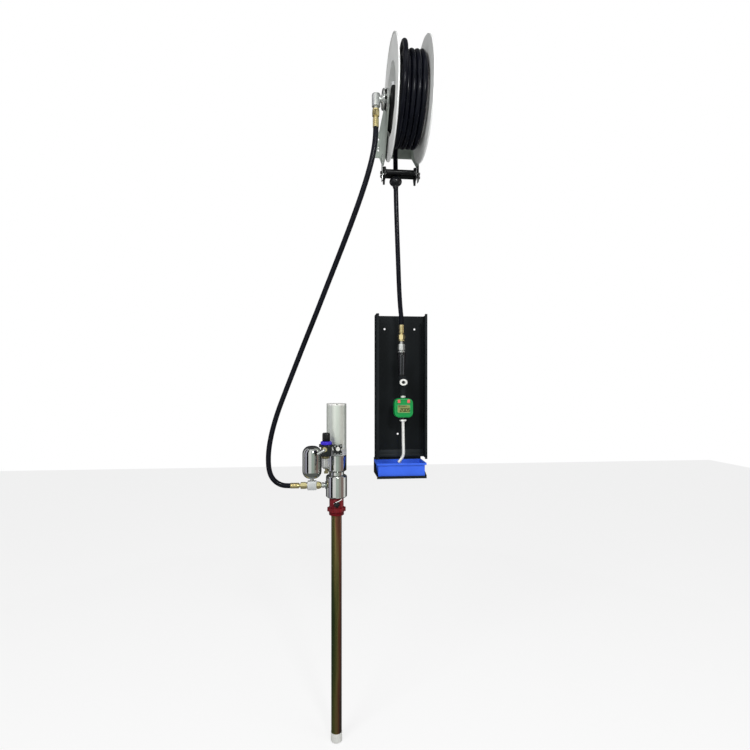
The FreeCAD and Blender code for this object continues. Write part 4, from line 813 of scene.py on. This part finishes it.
def make_valve_cap():
    """The bright ring on the valve, its dark hollow with a socket screw, and the trigger's pin."""
    ring = lathe([(0.0146, 0), (0.0158, 0.0010), (0.0158, 0.0052), (0.0144, 0.0070), (0.0090, 0.0070),
                  (0.0074, 0.0058), (0.0072, 0.0010)], sides=56)
    choose(ring, "faces", lambda spot, normal: True)
    bpy.ops.transform.resize(value=(1, 0.84, 1), center_override=(0, 0, 0))
    put_back()
    lay(ring, (GUN_X - 0.0020, -0.098, -0.9910), (90, 0, 0))
    complete(ring, "valve_ring", "white metal", "gun")
    screw = lathe([(0.0070, 0), (0.0070, 0.0012), (0.0058, 0.0016), (0.0055, 0.0030), (0.0030, 0.0030),
                   (0.0028, 0.0016)], sides=6)
    lay(screw, (GUN_X - 0.0020, -0.0990, -0.9910), (90, 0, 0))
    complete(screw, "valve_screw", "dark steel", "gun")
    pin = lathe([(0.0024, 0), (0.0032, 0.0006), (0.0030, 0.0184), (0.0024, 0.0190)], sides=24)
    lay(pin, (GUN_X - 0.0095, -0.040, -0.9895), (0, 90, 0))
    complete(pin, "trigger_pin", "bright steel", "gun")
    for piece in (ring, screw, pin):
        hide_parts("gun_fasteners")


def make_meter_nuts():
    """The bright nut above the meter, and the one below it between two dark washers."""
    for name, top, length, flats in (
            ("meter_nut", -1.0440, 0.0090, 0.0180), ("spout_nut", -1.1410, 0.0076, 0.0240)):
        nut = hex_nut(flats, length, 0.0022)
        lay(nut, (GUN_X, GUN_Y, top - length), (0, 0, 12))
        complete(nut, name, "white metal", "gun", smooth=24)
        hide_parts("gun_fasteners")
    washers = []
    for level, height in ((-1.0555, 0.0120), (-1.1465, 0.0140)):
        washers.append(lathe([(0.0066, level), (0.0074, level + 0.0004), (0.0074, level + height - 0.0004),
                              (0.0066, level + height)], sides=32))
    whole = join(washers)
    lay(whole, (GUN_X, GUN_Y, 0))
    complete(whole, "meter_washers", "glossy black", "gun")
    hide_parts("gun_fasteners")


def make_meter():
    """A moulded case with a raised border, a window with its bezel, and rims round the keys."""
    centre = (GUN_X, GUN_Y, -1.0940)
    case = cushion(0.0760, 0.0440, 0.0770, 0.0195, segments=9)
    ease_edges(case, 0.0045, 4)
    choose(case, "faces", lambda spot, normal: normal.y < -0.99 and abs(spot.x) < 0.02 and abs(spot.z) < 0.02)
    bpy.ops.mesh.inset(thickness=0.0030)
    bpy.ops.mesh.inset(thickness=0.0010, depth=-0.0012)
    put_back()
    lay(case, centre)
    complete(case, "meter_case", "meter green", "gun")
    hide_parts("meter_housing")
    front = GUN_Y - 0.0208
    bezel = cushion(0.0540, 0.0030, 0.0350, 0.0040)
    choose(bezel, "faces", lambda spot, normal: normal.y < -0.99)
    bpy.ops.mesh.inset(thickness=0.0010, depth=0.0006)
    bpy.ops.mesh.inset(thickness=0.0012, depth=-0.0014)
    put_back()
    lay(bezel, (GUN_X, front, -1.0975))
    # the bezel and the key rims are a lighter green than the case: a painted highlight on the raised rims
    complete(bezel, "window_bezel", "meter rim highlight", "gun")
    glass = cushion(0.0494, 0.0016, 0.0302, 0.0028)
    ease_edges(glass, 0.0003, 2)
    lay(glass, (GUN_X, front - 0.0003, -1.0975))
    complete(glass, "meter_window", "display", "gun")
    for piece in (bezel, glass):
        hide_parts("meter_housing")
    for name, across in (("left", 0.0005), ("right", 0.0395)):
        rim = cushion(0.0136, 0.0030, 0.0166, 0.0032)
        trim(rim, cushion(0.0113, 0.0100, 0.0141, 0.0028))
        ease_edges(rim, 0.0004, 2)
        lay(rim, (across, front + 0.0002, -1.0670))
        complete(rim, "key_rim_" + name, "meter rim highlight", "gun")
        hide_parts("meter_housing")
        key = cushion(0.0108, 0.0050, 0.0136, 0.0026)
        ease_edges(key, 0.0010, 3)
        lay(key, (across, front - 0.0016, -1.0670))
        complete(key, "key_" + name, "button red", "button_" + name)
        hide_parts("meter_button_" + name)


BARS = {
    "top": (0, 1, 0), "middle": (0, 0, 0), "foot": (0, -1, 0),
    "high left": (-1, 0.5, 90), "high right": (1, 0.5, 90),
    "low left": (-1, -0.5, 90), "low right": (1, -0.5, 90),
}
UNLIT = {
    "0": ("middle",), "2": ("high left", "low right"), "4": ("top", "foot", "low left"),
    "5": ("high right", "low left"), "6": ("high right",),
}


def write_row(figures, left, level, tall, front):
    """A row of bar figures, each bar a thin eased strip."""
    half = tall / 2 - tall * 0.06
    wide = tall * 0.27
    strip = slab(wide * 1.8, 0.0003, tall * 0.17, edge=0.00008, segments=1)
    bars = []
    along = left
    for figure in figures:
        if figure == ".":
            bars.append(slab(tall * 0.14, 0.0003, tall * 0.13, edge=0.00008, segments=1))
            lay(bars[-1], (along - tall * 0.10, front, level - half))
            continue
        for name, (side, height, turn) in BARS.items():
            if name not in UNLIT.get(figure, ()):
                move = (along + wide * side + wide, front, level + half * height)
                bars.append(copy_to(strip, move, turn=turn, axis="Y", about=(0, 0, tall * 0.085)))
        along += tall * 0.78
    bpy.data.objects.remove(strip, do_unlink=True)
    return bars


def make_figures():
    front = GUN_Y - 0.0220
    bars = write_row("00026.4", GUN_X - 0.0220, -1.0878, 0.0072, front)
    bars += write_row("20.05", GUN_X - 0.0150, -1.1030, 0.0138, front)
    figures = join(bars)
    complete(figures, "window_figures", "display ink", "gun")


# ---------------------------------------------------------------- hose guide and console

def sheet(outline, thickness, edge):
    """A plate cut to an outline, lying on the origin's plane, with its rims eased."""
    line = bpy.data.curves.new("sheet", "CURVE")
    line.dimensions = "2D"
    line.fill_mode = "BOTH"
    line.extrude = thickness / 2 - edge
    line.bevel_depth = edge
    line.bevel_resolution = 1
    spline = line.splines.new("POLY")
    spline.points.add(len(outline) - 1)
    for point, spot in zip(spline.points, outline):
        point.co = (*spot, 0, 1)
    spline.use_cyclic_u = True
    piece = bpy.data.objects.new("sheet", line)
    bpy.context.collection.objects.link(piece)
    pick_up(piece)
    bpy.ops.object.convert(target="MESH")
    return bpy.context.object


CHEEK = [
    (-0.029, -0.016), (-0.030, 0.014), (-0.018, 0.021), (0.004, 0.022), (0.013, 0.033), (0.019, 0.033),
    (0.022, 0.022), (0.030, 0.014), (0.030, -0.015), (0.024, -0.023), (0.018, -0.036), (0.012, -0.037),
    (0.005, -0.024), (-0.016, -0.022),
]


def make_guide():
    """Bulky black cheeks with a horn above and below, and the pins that the rollers turn on."""
    whole = []
    for side in (-1, 1):
        cheek = sheet(CHEEK, 0.0072, 0.0008)
        lay(cheek, (0, 0, 0), (90, 0, 90))
        lay(cheek, (0.0618 * side, GUIDE_Y, GUIDE_Z))
        boss = lathe([(0.0090, 0), (0.0100, 0.0008), (0.0100, 0.0050)])
        lay(boss, (0.0700 * side, GUIDE_Y - 0.0100, GUIDE_Z), (0, -90 * side, 0))
        whole += [cheek, boss]
    for across in (-0.1404, -0.0996):
        pin = lathe([(0.0040, 0), (0.0040, 0.1250)], sides=32)
        lay(pin, (-0.0625, across, GUIDE_Z), (0, 90, 0))
        whole.append(pin)
    whole = join(whole)
    complete(whole, "guide_cheeks", "glossy black", "frame")
    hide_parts("guide_brackets")


def make_straps():
    """Flat straps with eased rims that hang the cheeks; the far one takes the darker, duller steel as painted
    shade.
    """
    # the right strap is the same steel as the left: its dark steel finish is painted shade
    for name, side, material in (("left", -1, "bright steel"), ("right", 1, "dark steel")):
        strap = slab(0.0029, 0.0258, 0.1020, edge=0.0005)
        lay(strap, (0.0715 * side, GUIDE_Y - 0.0100, -0.1990))
        complete(strap, "strap_" + name, material, "frame")
        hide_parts("guide_straps")


def make_ball():
    """The rubber stop, squashed a little, with the hose's hole through it."""
    half = 0.0186
    profile = [(0.0108, -half - 0.0070), (0.0112, -half - 0.0010)]
    for step in range(1, 20):
        turn = math.pi * step / 20
        radius = 0.0248 * math.sin(turn) ** 0.85
        if radius > 0.0112:
            profile.append((radius, -half * math.cos(turn)))
    profile += [(0.0112, half)]
    body = lathe(profile, sides=72)
    lay(body, (-0.0166, GUIDE_Y, -0.1970))
    complete(body, "hose_ball", "soft rubber", "frame", smooth=60)
    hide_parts("ball_stop")


def make_hem():
    """The console's foot is folded up in two lines; the strips take a lighter tone of the console's paint as
    a painted highlight.
    """
    for name, low, high, at, thick in (
            ("deep", -1.3015, -1.2720, -0.0032, 0.0012), ("fine", -1.3015, -1.2890, -0.0060, 0.0040)):
        strip = slab(0.2040, thick, high - low, edge=0.0004)
        lay(strip, (0.0155, at, low))
        complete(strip, "console_hem_" + name, "console hem highlight", "frame")


# ---------------------------------------------------------------- pump and air side

PUMP_X, PUMP_Y = -0.249, -0.080
REGULATOR_X, REGULATOR_Y = -0.2905, -0.150
BOWL_X, VALVE_X, VALVE_Z = -0.2930, -0.2455, -1.2525
CLAMP_Z, OUTLET_Z = -1.4715, -1.4000


def flute(piece, centre, count, depth, wide=0.5):
    """Presses grooves into a round piece: every point is drawn in by its turn round the centre."""
    for point in piece.data.vertices:
        across, deep = point.co.x - centre[0], point.co.y - centre[1]
        radius = math.hypot(across, deep)
        if radius < 0.004:
            continue
        wave = 0.5 - 0.5 * math.cos(math.atan2(deep, across) * count)
        ratio = 1 - depth * clamp((wave - wide) / (1 - wide)) / radius
        point.co.x, point.co.y = centre[0] + across * ratio, centre[1] + deep * ratio


def make_regulator():
    """Fluted knob, ribbed ring, the moulded body's ears, port and air fittings."""
    spot = (REGULATOR_X, REGULATOR_Y)
    knob = lathe([(0.0138, 0), (0.0150, 0.0012), (0.0150, 0.0240), (0.0146, 0.0292), (0.0126, 0.0320),
                  (0.0040, 0.0330)], sides=144)
    flute(knob, (0, 0), 12, 0.0014)
    lay(knob, (*spot, -1.2178))
    complete(knob, "regulator_grip", "glossy black", "regulator_knob", smooth=50)
    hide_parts("regulator_knob")
    ring = lathe([(0.0200, 0), (0.0215, 0.0012), (0.0220, 0.0030), (0.0220, 0.0098), (0.0212, 0.0118),
                  (0.0180, 0.0130)], sides=192)
    flute(ring, (0, 0), 32, 0.0006)
    lay(ring, (*spot, -1.2310))
    complete(ring, "regulator_collar", "ring blue", "frame", smooth=50)
    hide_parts("regulator_ring")
    body = slab(0.0400, 0.0380, 0.0410, edge=0.0030, segments=3)
    lay(body, (*spot, -1.2740))
    shoulder = lathe([(0.0170, 0), (0.0200, 0.0016), (0.0200, 0.0120), (0.0170, 0.0136)], sides=64)
    lay(shoulder, (*spot, -1.2446))
    ears = []
    for across in (-0.0215, 0.0205):
        ears.append(slab(0.0120, 0.0260, 0.0100, edge=0.0015))
        lay(ears[-1], (REGULATOR_X + across, REGULATOR_Y, -1.2395))
    skirt = lathe([(0.0176, 0), (0.0190, 0.0012), (0.0196, 0.0080)], sides=64)
    lay(skirt, (*spot, -1.2750))
    whole = join([body, shoulder, *ears, skirt])
    complete(whole, "regulator_case", "glossy black", "frame")
    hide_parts("regulator_body")
    port = hex_nut(0.0170, 0.0080, 0.0010)
    lay(port, (-0.2965, REGULATOR_Y - 0.0185, -1.2475), (90, 0, 0))
    complete(port, "regulator_port", "brass", "frame", smooth=24)
    plug = pipe([(-0.2965, -0.1730, -1.2475), (-0.2965, -0.1830, -1.2480), (-0.3080, -0.1830, -1.2545),
                 (-0.3235, -0.1830, -1.2630)], 0.0052, sides=24)
    tip = lathe([(0.0046, 0), (0.0056, 0.0006), (0.0056, 0.0060), (0.0044, 0.0070)], sides=32)
    lay(tip, (-0.3185, -0.1830, -1.2603), (0, -118, 0))
    air = join([plug, tip])
    complete(air, "air_inlet", "bright steel", "frame", smooth=50)
    nipple = lathe([(0.0050, 0), (0.0066, 0.0004), (0.0066, 0.0058), (0.0050, 0.0062)], sides=32)
    lay(nipple, (-0.2682, -0.1380, -1.2500), (0, 90, 0))
    complete(nipple, "air_nipple", "white metal", "frame")
    for piece in (port, air, nipple):
        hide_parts("air_fittings")


def make_bowl():
    """The filter's bowl: a collar, and a ribbed cup that narrows at the foot."""
    collar = lathe([(0.0140, 0), (0.0158, 0.0008), (0.0164, 0.0030), (0.0164, 0.0086),
                    (0.0150, 0.0094)], sides=64)
    lay(collar, (BOWL_X, REGULATOR_Y, -1.2843))
    complete(collar, "bowl_collar", "olive metal", "frame")
    cup = lathe([(0.0060, 0), (0.0086, 0.0010), (0.0120, 0.0040), (0.0146, 0.0070), (0.0150, 0.0100),
                 (0.0150, 0.0405)], sides=160)
    flute(cup, (0, 0), 10, 0.0012, wide=0.7)
    lay(cup, (BOWL_X, REGULATOR_Y, -1.3245))
    complete(cup, "bowl_cup", "bright steel", "frame", smooth=50)
    for piece in (collar, cup):
        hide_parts("filter_bowl")


def make_valve_block():
    """The air valve's housing, hollowed on all four sides, with the union in its middle."""
    block = slab(0.0330, 0.0280, 0.0390, edge=0.0012)
    lay(block, (0, 0, -0.0195))
    for across, up in ((0.0175, 0), (-0.0175, 0), (0, 0.0215), (0, -0.0215)):
        hollow = lathe([(0.0070, 0), (0.0070, 0.0330)], sides=40)
        lay(hollow, (across, 0.0165, up), (90, 0, 0))
        trim(block, hollow)
    lay(block, (VALVE_X, -0.1345, VALVE_Z))
    complete(block, "valve_housing", "glossy black", "frame")
    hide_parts("air_valve_block")
    union = hex_nut(0.0150, 0.0080, 0.0012)
    stub = lathe([(0.0052, 0), (0.0052, 0.0112), (0.0042, 0.0120), (0.0028, 0.0120),
                  (0.0026, 0.0060)], sides=32)
    whole = join([union, stub])
    lay(whole, (VALVE_X, -0.1485, -1.2480), (90, 0, 0))
    complete(whole, "valve_union", "white metal", "frame", smooth=24)
    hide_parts("air_fittings")
    bolts = []
    for across, up in ((0.0115, 0.0150), (-0.0115, 0.0150), (0.0115, -0.0150), (-0.0115, -0.0150)):
        bolt = lathe([(0.0028, 0), (0.0028, 0.0022), (0.0022, 0.0028), (0.0014, 0.0028),
                      (0.0014, 0.0012)], sides=24)
        lay(bolt, (VALVE_X + across, -0.1484, VALVE_Z + up), (90, 0, 0))
        bolts.append(bolt)
    complete(join(bolts), "valve_screws", "bright steel", "frame")


def make_clamp():
    """The lobed grip on the clamp screw, with the bar that is pulled to tighten it."""
    grip = lathe([(0.0096, 0), (0.0118, 0.0012), (0.0124, 0.0030), (0.0124, 0.0130), (0.0110, 0.0152),
                  (0.0060, 0.0160)], sides=120)
    flute(grip, (0, 0), 5, 0.0030, wide=0.35)
    lay(grip, (PUMP_X, -0.1035, CLAMP_Z), (90, 0, 0))
    screw = lathe([(0.0040, 0), (0.0040, 0.0180)], sides=32)
    lay(screw, (PUMP_X, -0.0870, CLAMP_Z), (90, 0, 0))
    whole = join([grip, screw])
    complete(whole, "clamp_grip", "glossy black", "clamp_knob", smooth=50)
    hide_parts("clamp_knob")
    bar = pipe([(-0.2600, -0.1160, -1.4668), (-0.2500, -0.1172, -1.4620), (-0.2380, -0.1172, -1.4560),
                (-0.2280, -0.1160, -1.4500)], 0.0017, sides=16)
    complete(bar, "clamp_bar", "white metal", "clamp_knob", smooth=50)


def make_bung():
    """The red adapter, with its thread cut as ridges, hollow for the tube."""
    top, thread = 0.0710, 0.0150
    profile = [(0.0272, 0), (0.0286, 0.0010)]
    for ridge in range(5):
        low = 0.0010 + ridge * 0.0026
        profile += [(0.0298, low + 0.0007), (0.0298, low + 0.0012), (0.0284, low + 0.0019),
                    (0.0284, low + 0.0026)]
    profile += [(0.0285, thread), (0.0285, top - 0.0016), (0.0276, top - 0.0002), (0.0270, top)]
    body = lathe(profile, sides=96)
    bore = lathe([(0.0211, 0), (0.0211, 0.0900)], sides=72)
    lay(bore, (0, 0, -0.0050))
    trim(body, bore)
    eye = lathe([(0.0043, 0), (0.0043, 0.0200)], sides=32)
    lay(eye, (0, -0.0180, 0.0471), (90, 0, 0))
    trim(body, eye)
    lay(body, (PUMP_X, PUMP_Y, -1.5190))
    complete(body, "bung_body", "adapter red", "frame")
    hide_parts("bung_adapter")


def make_outlet():
    """The tee, its chamfered ends, and the nut and ring on the way to the pump."""
    tee = slab(0.0350, 0.0300, 0.0340, edge=0.0014)
    lay(tee, (-0.3460, PUMP_Y, -1.4170))
    mouth = lathe([(0.0120, 0), (0.0132, 0.0006), (0.0132, 0.0020)])
    lay(mouth, (-0.3655, PUMP_Y, OUTLET_Z), (0, 90, 0))
    lip = lathe([(0.0110, 0), (0.0110, 0.0012), (0.0092, 0.0024)])
    lay(lip, (-0.3460, PUMP_Y, -1.3832))
    whole = join([tee, mouth, lip])
    complete(whole, "tee_body", "cast alloy", "frame")
    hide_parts("tee_block")
    nut = hex_nut(0.0270, 0.0120, 0.0018)
    ring = lathe([(0.0116, 0.0118), (0.0126, 0.0124), (0.0126, 0.0160), (0.0108, 0.0186)])
    collar = lathe([(0.0122, -0.0010), (0.0122, 0.0008)])
    whole = join([nut, ring, collar])
    lay(whole, (-0.3275, PUMP_Y, OUTLET_Z), (0, 90, 0))
    complete(whole, "outlet_nut", "brass", "frame", smooth=24)
    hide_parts("outlet_adapter")
    nipple = lathe([(0.0086, 0), (0.0086, 0.0022), (0.0108, 0.0028), (0.0110, 0.0060), (0.0110, 0.0116),
                    (0.0090, 0.0122), (0.0088, 0.0180)])
    lay(nipple, (-0.3095, PUMP_Y, OUTLET_Z), (0, 90, 0))
    complete(nipple, "outlet_union", "bright steel", "frame")
    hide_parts("outlet_nipple")


def make_foot():
    """The cage of the foot valve: a hollow cup with a groove round it and a hole in its foot."""
    cage = lathe([(0.0170, 0), (0.0206, 0.0006), (0.0223, 0.0030), (0.0223, 0.0270), (0.0216, 0.0276),
                  (0.0216, 0.0290), (0.0223, 0.0296), (0.0223, 0.0352), (0.0214, 0.0360)], sides=96)
    hollow = lathe([(0.0150, 0), (0.0150, 0.0400)], sides=72)
    lay(hollow, (0, 0, 0.0080))
    trim(cage, hollow)
    seat = lathe([(0.0060, 0), (0.0060, 0.0200)])
    lay(seat, (0, 0, -0.0050))
    trim(cage, seat)
    lay(cage, (PUMP_X, PUMP_Y, -2.4190))
    complete(cage, "foot_cage", "white metal", "frame")
    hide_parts("foot_valve")


# ---------------------------------------------------------------- making

make_camera()
make_finishes()
make_hoses()
dress_nodes()
make_coil()
make_gooseneck()
make_hose_ends()
make_swivel()
make_gun_swivel()
make_grip()
make_valve_cap()
make_meter_nuts()
make_meter()
make_figures()
make_guide()
make_straps()
make_ball()
make_hem()
make_regulator()
make_bowl()
make_valve_block()
make_clamp()
make_bung()
make_outlet()
make_foot()
make_floor()
make_flags()
make_light()
